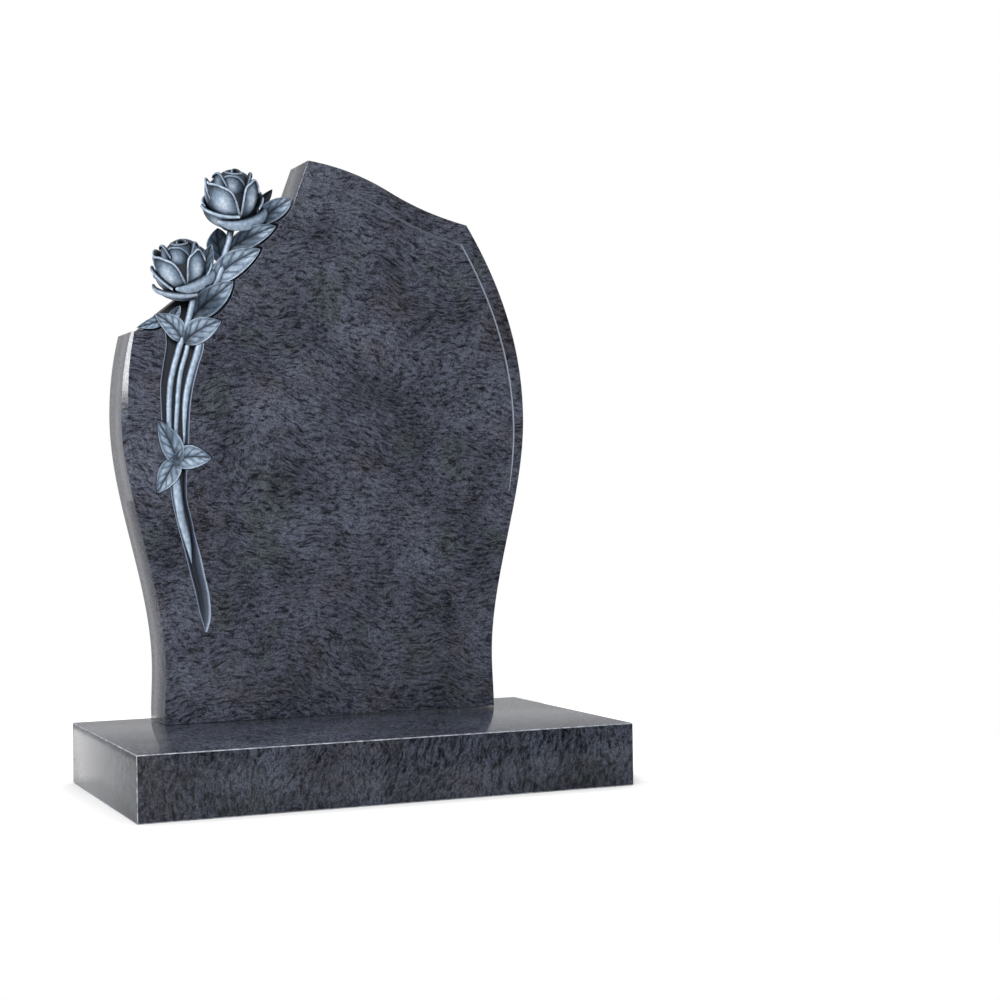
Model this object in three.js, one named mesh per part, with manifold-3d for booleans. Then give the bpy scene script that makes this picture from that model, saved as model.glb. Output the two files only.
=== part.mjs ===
// An upright headstone in polished blue-grey granite: a shaped tablet with two roses, their leaves and
// stems carved in it, standing by its own weight on a rectangular base.
// Millimetres. X runs to the right along the face, Y runs to the back, Z is up. The face looks to -Y.
// The origin is at the middle of the base's underside.

import * as THREE from "three";
import { mergeVertices } from "three/addons/utils/BufferGeometryUtils.js";
import Module from "manifold-3d";

const wasm = await Module();
wasm.setup();

// Base
const BASE_WIDTH = 610;
const BASE_DEPTH = 356;
const BASE_HEIGHT = 76;
const BASE_ARRIS = 2;

// Tablet, with heights measured from its own foot and drops measured down from its peak
const TABLET_HEIGHT = 709.5;
const TABLET_THICK = 76;
const TABLET_TO_BACK = 16;
const TABLET_SHIFT = 13;
const BED_JOINT = 0.3;
const FOOT_HALF = 221.5;
const WAIST_HALF = 219.5;
const WAIST_UP = 68;
const BULGE_HALF = 269.5;
const BULGE_UP = 382;
const PEAK_ACROSS = -26.5;
const OGEE_ACROSS = 83;
const OGEE_DROP = 34.5;
const SHOULDER_HALF = 191;
const SHOULDER_DROP = 73.5;
const LEFT_SHOULDER_DROP = 223.5;
const PEAK_SLOPE = -0.12;
const OGEE_SLOPE = -0.54;
const SHOULDER_SLOPE = -0.22;
const EDGE_ARRIS = 0.8;
const SIDE_STEPS = 13;

const PEAK_UP = TABLET_HEIGHT;
const OGEE_UP = PEAK_UP - OGEE_DROP;
const SHOULDER_UP = PEAK_UP - SHOULDER_DROP;
const LEFT_SHOULDER_UP = PEAK_UP - LEFT_SHOULDER_DROP;

// The tapering chamfer on the left edge of the face
const CHAMFER_FROM = 255;
const CHAMFER_FULL = 350;
const CHAMFER_WIDE = 9;
const CHAMFER_AT_SHOULDER = 3.5;
const CHAMFER_DEEP_SHARE = 0.8;

// The fine line cut inside the top and right edges
const LINE_WIDE = 3;
const LINE_DEEP = 2;
const LINE_START = 4;
const LINE_TOP_MARGIN = 28;
const LINE_CORNER_MARGIN = 25;
const LINE_END_MARGIN = 11;
const LINE_END_UP = 285;

// Carving depths behind the face
const FIELD_DEEP = 42;
const LEDGE_DEEP = 14;
const FACE_LEAF_DEEP = 9;
const POCKET_GAP = 2.5;
const FINEST_EDGE = 0.6;
const LEAST_FACE = 0.08;

const FRONT_Y = BASE_DEPTH / 2 - TABLET_TO_BACK - TABLET_THICK;

// The carving's places on the face are given as across from the middle and down from the peak
const onTablet = ([across, down]) => [across, PEAK_UP - down];

// Small helpers

function mix(a, b, t) {
  return a + (b - a) * t;
}

function smooth(t) {
  const k = Math.min(1, Math.max(0, t));
  return k * k * (3 - 2 * k);
}

function hermite(x, x0, y0, m0, x1, y1, m1) {
  const span = x1 - x0;
  const t = (x - x0) / span;
  const a = 1 - 3 * t * t + 2 * t * t * t;
  const b = t - 2 * t * t + t * t * t;
  const c = t * t * t - t * t;
  return y0 * a + span * m0 * b + y1 * (1 - a) + span * m1 * c;
}

// A closed solid from a geometry, turned right side out
function toSolid(geometry) {
  const bare = geometry.clone();
  bare.deleteAttribute("normal");
  bare.deleteAttribute("uv");
  const merged = mergeVertices(bare, 1e-4);
  const places = Float32Array.from(merged.attributes.position.array);
  const source = merged.index.array;
  const corners = [];
  let sixVolumes = 0;
  for (let i = 0; i < source.length; i += 3) {
    const [a, b, c] = [source[i], source[i + 1], source[i + 2]];
    if (a === b || b === c || c === a) {
      continue;
    }
    corners.push(a, b, c);
    const p = new THREE.Vector3().fromArray(places, a * 3);
    const q = new THREE.Vector3().fromArray(places, b * 3);
    const r = new THREE.Vector3().fromArray(places, c * 3);
    sixVolumes += p.dot(q.cross(r));
  }
  if (sixVolumes < 0) {
    for (let i = 0; i < corners.length; i += 3) {
      const kept = corners[i + 1];
      corners[i + 1] = corners[i + 2];
      corners[i + 2] = kept;
    }
  }
  const mesh = new wasm.Mesh({ numProp: 3, vertProperties: places, triVerts: Uint32Array.from(corners) });
  mesh.merge();
  return new wasm.Manifold(mesh);
}

// A flat outline in the plane of the face, taken from one depth behind the face to another
function slabOf(outline, from, to) {
  const shape = new THREE.Shape(outline.map(([u, w]) => new THREE.Vector2(u, w)));
  const geometry = new THREE.ExtrudeGeometry(shape, { depth: to - from, bevelEnabled: false });
  geometry.translate(0, 0, -to);
  geometry.rotateX(Math.PI / 2);
  return toSolid(geometry);
}

// A closed loft through rings that all have the same number of points
function loft(rings) {
  const round = rings[0].length;
  const places = [];
  const corners = [];
  for (const ring of rings) {
    for (const [u, d, w] of ring) {
      places.push(u, d, w);
    }
  }
  for (let i = 0; i + 1 < rings.length; i += 1) {
    for (let j = 0; j < round; j += 1) {
      const a = i * round + j;
      const b = i * round + ((j + 1) % round);
      corners.push(a, b, a + round);
      corners.push(b, b + round, a + round);
    }
  }
  const last = (rings.length - 1) * round;
  for (let j = 1; j + 1 < round; j += 1) {
    corners.push(0, j + 1, j);
    corners.push(last, last + j, last + j + 1);
  }
  const geometry = new THREE.BufferGeometry();
  geometry.setAttribute("position", new THREE.Float32BufferAttribute(places, 3));
  geometry.setIndex(corners);
  return toSolid(geometry);
}

// A closed sheet between two surfaces, each a function of across (-1 to 1) and along (0 to 1)
function sheet(front, back, across, along) {
  const places = [];
  const corners = [];
  const row = across + 1;
  const layer = row * (along + 1);
  for (const surface of [front, back]) {
    for (let j = 0; j <= along; j += 1) {
      for (let i = 0; i <= across; i += 1) {
        places.push(...surface((2 * i) / across - 1, j / along));
      }
    }
  }
  for (let j = 0; j < along; j += 1) {
    for (let i = 0; i < across; i += 1) {
      const a = j * row + i;
      corners.push(a, a + 1, a + row, a + 1, a + row + 1, a + row);
      const b = a + layer;
      corners.push(b, b + row, b + 1, b + 1, b + row, b + row + 1);
    }
  }
  const wall = (a, b) => corners.push(a, a + layer, b, b, a + layer, b + layer);
  for (let i = 0; i < across; i += 1) {
    wall(i, i + 1);
    wall(along * row + i + 1, along * row + i);
  }
  for (let j = 0; j < along; j += 1) {
    wall((j + 1) * row, j * row);
    wall(j * row + across, (j + 1) * row + across);
  }
  const geometry = new THREE.BufferGeometry();
  geometry.setAttribute("position", new THREE.Float32BufferAttribute(places, 3));
  geometry.setIndex(corners);
  return toSolid(geometry);
}

// Stone has no sealed hollows, so a shell that faces inwards, such as a gap closed off between petals,
// is filled by leaving it out. Edges far finer than a chisel could cut are drawn together to a point.
function finished(places, corners) {
  const parent = Array.from({ length: places.length / 3 }, (_, i) => i);
  const root = (i) => {
    let at = i;
    while (parent[at] !== at) {
      parent[at] = parent[parent[at]];
      at = parent[at];
    }
    return at;
  };
  for (let i = 0; i < corners.length; i += 3) {
    parent[root(corners[i])] = root(corners[i + 1]);
    parent[root(corners[i + 2])] = root(corners[i + 1]);
  }
  const at = (i) => new THREE.Vector3().fromArray(places, i * 3);
  const volumes = new Map();
  let faces = [];
  for (let i = 0; i < corners.length; i += 3) {
    const face = [corners[i], corners[i + 1], corners[i + 2]];
    const shell = root(face[0]);
    const six = at(face[0]).dot(at(face[1]).cross(at(face[2])));
    volumes.set(shell, (volumes.get(shell) ?? 0) + six);
    faces.push(face);
  }
  faces = faces.filter((face) => volumes.get(root(face[0])) > 0);
  let kept = faces;
  for (let round = 0; round < 3; round += 1) {
    kept = withoutSlivers(places, drawnTogether(places, kept));
  }
  return { places, corners: kept.flat() };
}

// A face with next to no height is turned against its neighbour across its longest side
function withoutSlivers(places, given) {
  const faces = given.map((face) => [...face]);
  const at = (i) => new THREE.Vector3().fromArray(places, i * 3);
  const key = (a, b) => `${a}_${b}`;
  const sides = new Map();
  const edges = (index) => faces[index].map((v, k) => key(v, faces[index][(k + 1) % 3]));
  const enter = (index) => edges(index).forEach((edge) => sides.set(edge, index));
  const leave = (index) => edges(index).forEach((edge) => sides.delete(edge));
  const cross = ([a, b, c]) => at(b).sub(at(a)).cross(at(c).sub(at(a)));
  const height = (face) => {
    const longest = Math.max(...face.map((v, k) => at(v).distanceTo(at(face[(k + 1) % 3]))));
    return cross(face).length() / longest;
  };
  faces.forEach((_, index) => enter(index));
  for (let index = 0; index < faces.length; index += 1) {
    const before = height(faces[index]);
    if (before > LEAST_FACE) {
      continue;
    }
    const face = faces[index];
    const long = face.map((v, k) => at(v).distanceTo(at(face[(k + 1) % 3])));
    const k = long.indexOf(Math.max(...long));
    const [a, b, c] = [face[k], face[(k + 1) % 3], face[(k + 2) % 3]];
    const other = sides.get(key(b, a));
    const d = faces[other].find((v) => v !== a && v !== b);
    if (sides.has(key(c, d)) || sides.has(key(d, c))) {
      continue;
    }
    const [one, two] = [[a, d, c], [d, b, c]];
    const facing = cross(faces[other]);
    const agrees = (made) => cross(made).dot(facing) > 0.8 * cross(made).length() * facing.length();
    if (Math.min(height(one), height(two)) > before && agrees(one) && agrees(two)) {
      leave(index);
      leave(other);
      faces[index] = one;
      faces[other] = two;
      enter(index);
      enter(other);
    }
  }
  return faces;
}

// Short edges are collapsed where that keeps the surface closed and turns no face over
function drawnTogether(places, faces) {
  const around = new Map();
  const hold = (vertex, index) => {
    if (!around.has(vertex)) {
      around.set(vertex, new Set());
    }
    around.get(vertex).add(index);
  };
  faces.forEach((face, index) => face.forEach((vertex) => hold(vertex, index)));
  const at = (i) => new THREE.Vector3().fromArray(places, i * 3);
  const normal = (face, moved, to) => {
    const [a, b, c] = face.map((vertex) => (vertex === moved ? to.clone() : at(vertex)));
    return b.sub(a).cross(c.sub(a));
  };
  const neighbours = (vertex) => new Set([...around.get(vertex)].flatMap((index) => faces[index]));
  const alive = new Set(faces.keys());
  let changed = true;
  while (changed) {
    changed = false;
    for (const index of [...alive]) {
      if (!alive.has(index)) {
        continue;
      }
      const face = faces[index];
      for (let k = 0; k < 3; k += 1) {
        const [kept, gone] = [face[k], face[(k + 1) % 3]];
        if (at(kept).distanceTo(at(gone)) > FINEST_EDGE) {
          continue;
        }
        const others = neighbours(gone);
        const shared = [...neighbours(kept)].filter((v) => v !== kept && v !== gone && others.has(v));
        if (shared.length !== 2) {
          continue;
        }
        const to = at(kept);
        const turned = [...around.get(gone)].filter((i) => !faces[i].includes(kept));
        const flips = turned.some((i) => {
          const before = normal(faces[i]);
          const after = normal(faces[i], gone, to);
          return before.length() > 1e-3 && before.dot(after) < 0.3 * before.length() * after.length();
        });
        if (flips) {
          continue;
        }
        for (const i of [...around.get(gone)]) {
          if (faces[i].includes(kept)) {
            faces[i].forEach((v) => around.get(v).delete(i));
            alive.delete(i);
          } else {
            faces[i] = faces[i].map((v) => (v === gone ? kept : v));
            hold(kept, i);
          }
        }
        around.delete(gone);
        changed = true;
        break;
      }
    }
  }
  return [...alive].map((index) => faces[index]);
}

// Outline of the tablet

// Half the tablet's width at a height: straight foot, waist, full belly, and in again to the shoulder
function halfWidth(up) {
  if (up < WAIST_UP) {
    return mix(FOOT_HALF, WAIST_HALF, smooth(up / WAIST_UP));
  }
  if (up < BULGE_UP) {
    return mix(WAIST_HALF, BULGE_HALF, smooth((up - WAIST_UP) / (BULGE_UP - WAIST_UP)));
  }
  const t = (up - BULGE_UP) / (SHOULDER_UP - BULGE_UP);
  return BULGE_HALF - (BULGE_HALF - SHOULDER_HALF) * t ** 2.05;
}

// Height of the ogee top at a place across
function topUp(across) {
  if (across < OGEE_ACROSS) {
    return hermite(across, PEAK_ACROSS, PEAK_UP, PEAK_SLOPE, OGEE_ACROSS, OGEE_UP, OGEE_SLOPE);
  }
  return hermite(across, OGEE_ACROSS, OGEE_UP, OGEE_SLOPE, SHOULDER_HALF, SHOULDER_UP, SHOULDER_SLOPE);
}

function steps(from, to, count) {
  return Array.from({ length: count + 1 }, (_, i) => mix(from, to, i / count));
}

// The stepped edge on the left above the low shoulder, hidden for the most part behind leaves and roses
const PEAK_FOOT = [-47, 54.5];
const BACKDROP = [
  PEAK_FOOT, [-62, 73.5], [-100, 97.5], [-136, 131.5], [-172, 164.5], [-206, 191.5], [-240, 220.5],
];

function tabletOutline() {
  const right = steps(0, SHOULDER_UP, SIDE_STEPS * 2).map((up) => [halfWidth(up), up]);
  const top = steps(SHOULDER_HALF, PEAK_ACROSS, SIDE_STEPS)
    .slice(1)
    .map((across) => [across, topUp(across)]);
  const left = steps(LEFT_SHOULDER_UP, 0, SIDE_STEPS * 2).map((up) => [-halfWidth(up), up]);
  return [...right, ...top, ...BACKDROP.map(onTablet), ...left];
}

function tabletBlank() {
  const shape = new THREE.Shape(tabletOutline().map(([u, w]) => new THREE.Vector2(u, w)));
  const geometry = new THREE.ExtrudeGeometry(shape, {
    depth: TABLET_THICK - 2 * EDGE_ARRIS,
    bevelEnabled: true,
    bevelSegments: 1,
    bevelSize: EDGE_ARRIS,
    bevelOffset: -EDGE_ARRIS,
    bevelThickness: EDGE_ARRIS,
  });
  geometry.translate(0, 0, EDGE_ARRIS - TABLET_THICK);
  geometry.rotateX(Math.PI / 2);
  return toSolid(geometry);
}

// How wide the left chamfer is at a height
function chamferWide(up) {
  if (up < CHAMFER_FULL) {
    return CHAMFER_WIDE * smooth((up - CHAMFER_FROM) / (CHAMFER_FULL - CHAMFER_FROM));
  }
  return mix(CHAMFER_WIDE, CHAMFER_AT_SHOULDER, (up - CHAMFER_FULL) / (LEFT_SHOULDER_UP - CHAMFER_FULL));
}

function leftChamfer() {
  const outside = 12;
  const rings = steps(CHAMFER_FROM, LEFT_SHOULDER_UP + 8, 12).map((up) => {
    const edge = -halfWidth(up);
    const wide = Math.max(chamferWide(up), 0.05);
    const slope = CHAMFER_DEEP_SHARE;
    return [
      [edge + wide + outside, -outside * slope, up],
      [edge - outside, -outside * slope, up],
      [edge - outside, (wide + outside) * slope, up],
    ];
  });
  return loft(rings);
}

// The cut line follows the top at one margin, turns at the shoulder and runs down beside the right edge
function lineMargin(up) {
  return mix(LINE_END_MARGIN, LINE_CORNER_MARGIN, (up - LINE_END_UP) / (SHOULDER_UP - LINE_END_UP));
}

function cutLine() {
  const cornerUp = topUp(SHOULDER_HALF) - LINE_TOP_MARGIN + 3;
  const cornerAcross = halfWidth(cornerUp) - lineMargin(cornerUp);
  const top = steps(LINE_START, cornerAcross, 12).map((across) => {
    return [across, topUp(across) - LINE_TOP_MARGIN];
  });
  top[top.length - 1][1] = cornerUp;
  const side = steps(cornerUp, LINE_END_UP, 16).map((up) => [halfWidth(up) - lineMargin(up), up]);
  const strip = (path) => {
    const rings = path.map(([u, w], i) => {
      const before = path[Math.max(0, i - 1)];
      const after = path[Math.min(path.length - 1, i + 1)];
      const run = new THREE.Vector2(after[0] - before[0], after[1] - before[1]).normalize();
      const fade = smooth(Math.min(i, path.length - 1 - i) / 3 + (path === top && i > 6 ? 1 : 0)
        + (path === side && i < 8 ? 1 : 0));
      const half = (LINE_WIDE / 2) * mix(0.25, 1, fade);
      const deep = LINE_DEEP * mix(0.25, 1, fade);
      const [nu, nw] = [-run.y * half, run.x * half];
      return [
        [u - 2 * nu, -deep, w - 2 * nw],
        [u + 2 * nu, -deep, w + 2 * nw],
        [u, deep, w],
      ];
    });
    return loft(rings);
  };
  return strip(top).add(strip(side));
}

// Leaves

// A leaf lies in the plane of the face from its base to its tip. The midrib bows to one side, the two
// halves rise from it to the rim, and the base dips under what lies over it.
function leafPlace(leaf, s, t, grow = 0) {
  const [bu, bw] = onTablet(leaf.base);
  const [tu, tw] = onTablet(leaf.tip);
  const long = Math.hypot(tu - bu, tw - bw);
  const [du, dw] = [(tu - bu) / long, (tw - bw) / long];
  const reach = mix(-grow, long + grow * 1.6, t);
  const k = Math.min(1, Math.max(0, t));
  const bow = leaf.bow * Math.sin(Math.PI * k ** 0.9);
  const fullness = Math.sin(Math.PI * k ** (leaf.low ?? 0.82)) ** 0.8 * (1 - 0.12 * k);
  const half = (leaf.wide / 2) * fullness + grow * Math.sin(Math.PI * mix(0.08, 0.92, k)) ** 0.5;
  const side = bow + half * s;
  return [bu + du * reach - dw * side, bw + dw * reach + du * side];
}

function leafDepth(leaf, s, t) {
  const fold = leaf.fold ?? 3.5;
  const lift = mix(leaf.from, leaf.to, smooth(t * 1.15));
  const valley = fold * (1 - Math.abs(s)) * Math.sin(Math.PI * Math.min(1, t)) ** 0.6;
  const roll = (leaf.roll ?? 0) * s * Math.sin(Math.PI * t);
  return lift + valley + roll;
}

// The stone is cut away round a leaf down to the field at its base, and less deep towards its tip
function leafFloor(leaf, t) {
  return mix(leaf.floor, Math.min(leaf.floor, LEDGE_DEEP), smooth(t * 1.6));
}

// Underneath, a leaf is a wedge: thin at the rim and standing on the stone below its midrib
function leafSolid(leaf) {
  const front = (s, t) => {
    const [u, w] = leafPlace(leaf, s, t);
    return [u, leafDepth(leaf, s, t), w];
  };
  const back = (s, t) => {
    const [u, w] = leafPlace(leaf, s, t);
    const thin = leafDepth(leaf, s, t) + 3.5;
    const floor = leafFloor(leaf, t) + 1.5;
    return [u, mix(Math.max(thin, floor), thin, Math.abs(s) ** 2), w];
  };
  return sheet(front, back, 4, 6);
}

function leafPocket(leaf) {
  const rings = steps(0, 1, 7).map((t) => {
    const [one, two] = [leafPlace(leaf, -1, t, POCKET_GAP), leafPlace(leaf, 1, t, POCKET_GAP)];
    const deep = leafFloor(leaf, t);
    return [
      [one[0], -5, one[1]],
      [two[0], -5, two[1]],
      [two[0], deep, two[1]],
      [one[0], deep, one[1]],
    ];
  });
  return loft(rings);
}

const UPPER = FIELD_DEEP;
const LOWER = FACE_LEAF_DEEP;
const FLAT = 2.4;
const LEAVES = [
  { base: [-90, 82.5], tip: [-49, 49.5], wide: 27, bow: 2, from: 38, to: 2, floor: UPPER, low: 1.1 },
  { base: [-124, 115.5], tip: [-70, 85.5], wide: 27, bow: 3, from: 34, to: 2, floor: UPPER },
  { base: [-148, 157.5], tip: [-91, 115.5], wide: 33, bow: 5, from: 20, to: 2, floor: UPPER },
  { base: [-156, 153.5], tip: [-150, 109.5], wide: 20, bow: 3, from: 24, to: 17, floor: UPPER },
  { base: [-171, 201.5], tip: [-127, 157.5], wide: 34, bow: 2, from: 34, to: 2, floor: UPPER },
  { base: [-127, 139.5], tip: [-137, 86.5], wide: 40, bow: 3, from: 28, to: 34, floor: UPPER, roll: -9,
    low: 1.25 },
  { base: [-94, 66.5], tip: [-68.5, 36], wide: 15, bow: -1, from: 33, to: 20, floor: 30 },
  { base: [-204, 211.5], tip: [-190, 187.5], wide: 14, bow: 0, from: 24, to: 22, floor: UPPER },
  { base: [-208, 201.5], tip: [-248, 217.5], wide: 15, bow: 2, from: 10, to: 6, floor: LEDGE_DEEP },
  { base: [-190, 235.5], tip: [-143, 207.5], wide: 32, bow: 4, from: 3, to: 1.5, floor: LOWER, fold: FLAT },
  { base: [-192, 233.5], tip: [-226, 200.5], wide: 27, bow: -5, from: 3, to: 1.5, floor: LOWER, fold: FLAT },
  { base: [-199, 388.5], tip: [-225, 332.5], wide: 29, bow: -2.5, from: 2, to: 1, floor: LOWER, fold: FLAT },
  { base: [-207, 383.5], tip: [-158, 379.5], wide: 31, bow: 4, from: 2, to: 1, floor: LOWER, fold: FLAT },
  { base: [-200, 377.5], tip: [-227, 422.5], wide: 28, bow: 0, from: 2, to: 1, floor: LOWER, fold: FLAT },
];

// The sunk field behind the upper leaves, open to the left
const FIELD = [
  [-62, 57.5], [-84, 89.5], [-106, 119.5], [-138, 157.5], [-152, 189.5], [-164, 213.5], [-178, 225.5],
  [-204, 229.5], [-213, 215.5], [-236, 207.5], [-300, 237.5], [-300, 9.5], [-80, 9.5], [-62, 45.5],
];

// Stems

// A stem follows a smooth line through a few places, each with its width, flat on the carving's floor
function stem(line, deep, rise, sides = 6, count = 8) {
  const middle = new THREE.CatmullRomCurve3(
    line.map(([u, down, wide, d]) => new THREE.Vector3(u, PEAK_UP - down, d ?? deep)),
  );
  const girth = new THREE.CatmullRomCurve3(line.map(([, , wide]) => new THREE.Vector3(wide, 0, 0)));
  const rings = steps(0, 1, count).map((t) => {
    const at = middle.getPoint(t);
    const run = middle.getTangent(t);
    const along = new THREE.Vector2(run.x, run.y).normalize();
    const half = Math.max(0.3, girth.getPoint(t).x / 2);
    const ring = [];
    for (let k = 0; k < sides; k += 1) {
      const turn = (2 * Math.PI * (k + 0.5)) / sides;
      const side = half * Math.cos(turn);
      const out = Math.sin(turn) * (Math.sin(turn) > 0 ? Math.min(rise, half * 1.2) : half);
      ring.push([at.x - along.y * side, at.z - out, at.y + along.x * side]);
    }
    return ring;
  });
  return loft(rings);
}

// The channel that the stems lie in. Each station is down, left side, right side and depth.
const CHANNEL = [
  [223.5, -214, -172, 11], [239.5, -213, -166, 11], [263.5, -217, -173, 11], [287.5, -220.5, -179.5, 11],
  [313.5, -220.5, -184, 11], [341.5, -219, -186, 11], [369.5, -216, -187, 10], [399.5, -211, -190, 10],
  [430.5, -208, -190, 9], [455.5, -203, -184.5, 9], [477.5, -197.5, -180, 9], [502.5, -191, -173.5, 8.5],
  [526.5, -185.5, -168.5, 8], [546.5, -180.5, -164, 7], [565.5, -177, -162, 6], [581.5, -173, -162.5, 4],
  [596.5, -168.5, -167, 0.6],
];
const CHANNEL_NARROWS = 460;
const CHANNEL_KEEN = 520;

function channel() {
  const rings = CHANNEL.map(([down, left, right, deep]) => {
    const up = PEAK_UP - down;
    const wide = right - left;
    const bottom = mix(0.78, 0.08, smooth((down - CHANNEL_NARROWS) / (CHANNEL_KEEN - CHANNEL_NARROWS)));
    const inset = (wide * (1 - bottom)) / 2;
    return [
      [left, -3, up],
      [left, 0, up],
      [left + inset * 0.7, deep, up],
      [right - inset * 1.3, deep, up],
      [right, 0, up],
      [right, -3, up],
    ];
  });
  return loft(rings);
}

// Each place on a stem is across, down, how thick and, where it differs, how deep
const FACE_STEMS = [
  stem(
    [
      [-183, 223.5, 6, 10], [-187, 245.5, 6.6], [-196, 278.5, 6.8],
      [-201, 333.5, 6.4, 7], [-202, 374.5, 6, 12],
    ],
    6.5,
    4,
  ),
  stem(
    [[-166, 221.5, 8, 11], [-172, 243.5, 9.5], [-185, 286.5, 9], [-190, 318.5, 8], [-191, 362.5, 2.5, 8]],
    6,
    4,
  ),
  stem(
    [
      [-204, 391.5, 12, 10], [-202, 419.5, 13], [-197.5, 453.5, 12.5],
      [-190, 481.5, 10.5], [-184, 510.5, 1],
    ],
    5.5,
    3.5,
  ),
];

const FIELD_STEMS = [
  stem(
    [
      [-117, 77.5, 10, 38], [-125, 103.5, 8, 26], [-132, 121.5, 8],
      [-136, 139.5, 8], [-145, 161.5, 8, 24], [-158, 191.5, 8, 46],
    ],
    22,
    5,
  ),
  stem(
    [
      [-168, 161.5, 10, 42], [-173, 179.5, 8.5, 26], [-179, 199.5, 8.5, 19], [-186, 217.5, 8, 12],
      [-192, 231.5, 8, 7.5], [-198, 247.5, 8, 6], [-208, 286.5, 8, 6], [-210.5, 333.5, 7.6, 6.5],
      [-207, 374.5, 7, 12],
    ],
    6,
    4.5,
    6,
    16,
  ),
];

// Roses

// A rose in shares of its own height: out is the distance from its axis, up the height. turn is where a
// petal stands round the axis, 0 in front and positive to the right, and span is half its spread. The rim
// dips towards the petal's ends, to one side more than the other where it is lopsided. The lip that rolls
// out of the rim tapers to the ends.
const HEART = [0.06, 0.55];
const BUD = [0.12, 0.5];
const CUP = [0.14, 0.15];
const CALYX = [0.1, 0.12];
const ROLLED = [0.035, 0];
const FINE = [0.02, 0];

const BLOOM = [
  { turn: -10, span: 100, foot: HEART, belly: [0.3, 0.74], rim: [0.1, 0.99], dip: 0.06, lip: FINE },
  { turn: -170, span: 100, foot: HEART, belly: [0.24, 0.82], rim: [0.03, 1.0], dip: 0.06, lip: FINE },
  { turn: -22, span: 50, foot: HEART, belly: [0.36, 0.7], rim: [0.2, 0.99], dip: 0.3, round: 3, lip: FINE },
  { turn: -70, span: 34, foot: BUD, belly: [0.38, 0.66], rim: [0.28, 1.0], dip: 0.25 },
  { turn: 62, span: 34, foot: BUD, belly: [0.36, 0.66], rim: [0.24, 1.0], dip: 0.25 },
  { turn: 176, span: 62, foot: BUD, belly: [0.36, 0.62], rim: [0.26, 0.88], dip: 0.2, plain: true },
  { turn: -36, span: 42, foot: CUP, belly: [0.56, 0.38], rim: [0.42, 0.86], dip: 0.5, round: 3.5,
    lopsided: 0.85, slant: -0.08 },
  { turn: 31, span: 30, foot: CUP, belly: [0.54, 0.42], rim: [0.36, 0.92], dip: 0.6, round: 5,
    lopsided: -0.5, slant: 0.08 },
  { turn: 86, span: 44, foot: CUP, belly: [0.55, 0.33], rim: [0.44, 0.58], dip: 0.2, plain: true },
  { turn: -104, span: 38, foot: CUP, belly: [0.55, 0.38], rim: [0.45, 0.8], dip: 0.25, plain: true },
  { turn: 180, span: 54, foot: CUP, belly: [0.54, 0.35], rim: [0.44, 0.74], dip: 0.2, plain: true },
];
const BEHIND = [
  { turn: 128, span: 40, foot: CALYX, belly: [0.4, 0.06], rim: [0.44, 0.38], dip: 0, plain: true },
  { turn: -136, span: 56, foot: CALYX, belly: [0.44, 0.06], rim: [0.5, 0.42], dip: 0, plain: true },
];
const UPPER_SKIRT = [
  { turn: 27, span: 68, foot: CALYX, belly: [0.44, 0.08], rim: [0.5, 0.39], dip: 0, slant: 0.08,
    lip: [0.1, 0.14], taper: 0.85 },
  { turn: -46, span: 45, foot: CALYX, belly: [0.44, 0.06], rim: [0.5, 0.42], dip: 0,
    lip: [0.05, 0.02], taper: 0.3 },
  ...BEHIND,
];
const LOWER_SKIRT = [
  { turn: 38, span: 60, foot: CALYX, belly: [0.44, 0.1], rim: [0.46, 0.5], dip: 0.12, slant: 0.03,
    lip: [0.1, 0.14], taper: 0.85 },
  { turn: -62, span: 34, foot: CALYX, belly: [0.46, 0.1], rim: [0.5, 0.56], dip: 0.1, slant: -0.12,
    lip: [0.04, 0.02], taper: 0.3 },
  { turn: -34, span: 52, foot: CALYX, belly: [0.44, 0.02], rim: [0.54, 0.34], dip: 0.1, slant: -0.02,
    lip: [0.05, 0.06], taper: 0.6 },
  ...BEHIND,
];
const PETAL_THICK = 0.045;
const LIP_FROM = 0.72;
const ROSE_FLAT = 0.74;

function petalProfile(petal, t, s) {
  const [lipOut, lipDrop] = petal.lip ?? ROLLED;
  const edge = Math.abs(s) ** (petal.round ?? 2) * (1 + (petal.lopsided ?? 0) * s);
  const body = Math.min(1, t / LIP_FROM) * (1 - petal.dip * edge);
  const [a, b, c] = [(1 - body) ** 2, 2 * body * (1 - body), body * body];
  let out = a * petal.foot[0] + b * petal.belly[0] + c * petal.rim[0];
  let up = a * petal.foot[1] + b * petal.belly[1] + c * petal.rim[1] + (petal.slant ?? 0) * s * body;
  if (t > LIP_FROM) {
    const curl = (t - LIP_FROM) / (1 - LIP_FROM);
    const full = 1 - (petal.taper ?? 0) * Math.min(1, Math.abs(s)) ** 3;
    out += lipOut * Math.sin((Math.PI / 2) * curl) * full;
    up += 0.02 * Math.sin(Math.PI * curl) - lipDrop * curl * curl * full;
  }
  return [out, up];
}

function petalPoint(petal, s, t) {
  const [out, up] = petalProfile(petal, t, s);
  const spread = mix(0.6, 1, Math.sin((Math.PI / 2) * Math.min(1, t * 1.3)));
  const turn = THREE.MathUtils.degToRad(petal.turn + petal.span * s * spread);
  const tuck = -0.02 * s;
  return new THREE.Vector3((out + tuck) * Math.sin(turn), -(out + tuck) * Math.cos(turn), up);
}

function petalNormal(petal, s, t) {
  const e = 0.04;
  const a = petalPoint(petal, s + e, t).sub(petalPoint(petal, s - e, t));
  const b = petalPoint(petal, s, Math.min(1, t + e)).sub(petalPoint(petal, s, Math.max(0, t - e)));
  return a.cross(b).normalize();
}

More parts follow.
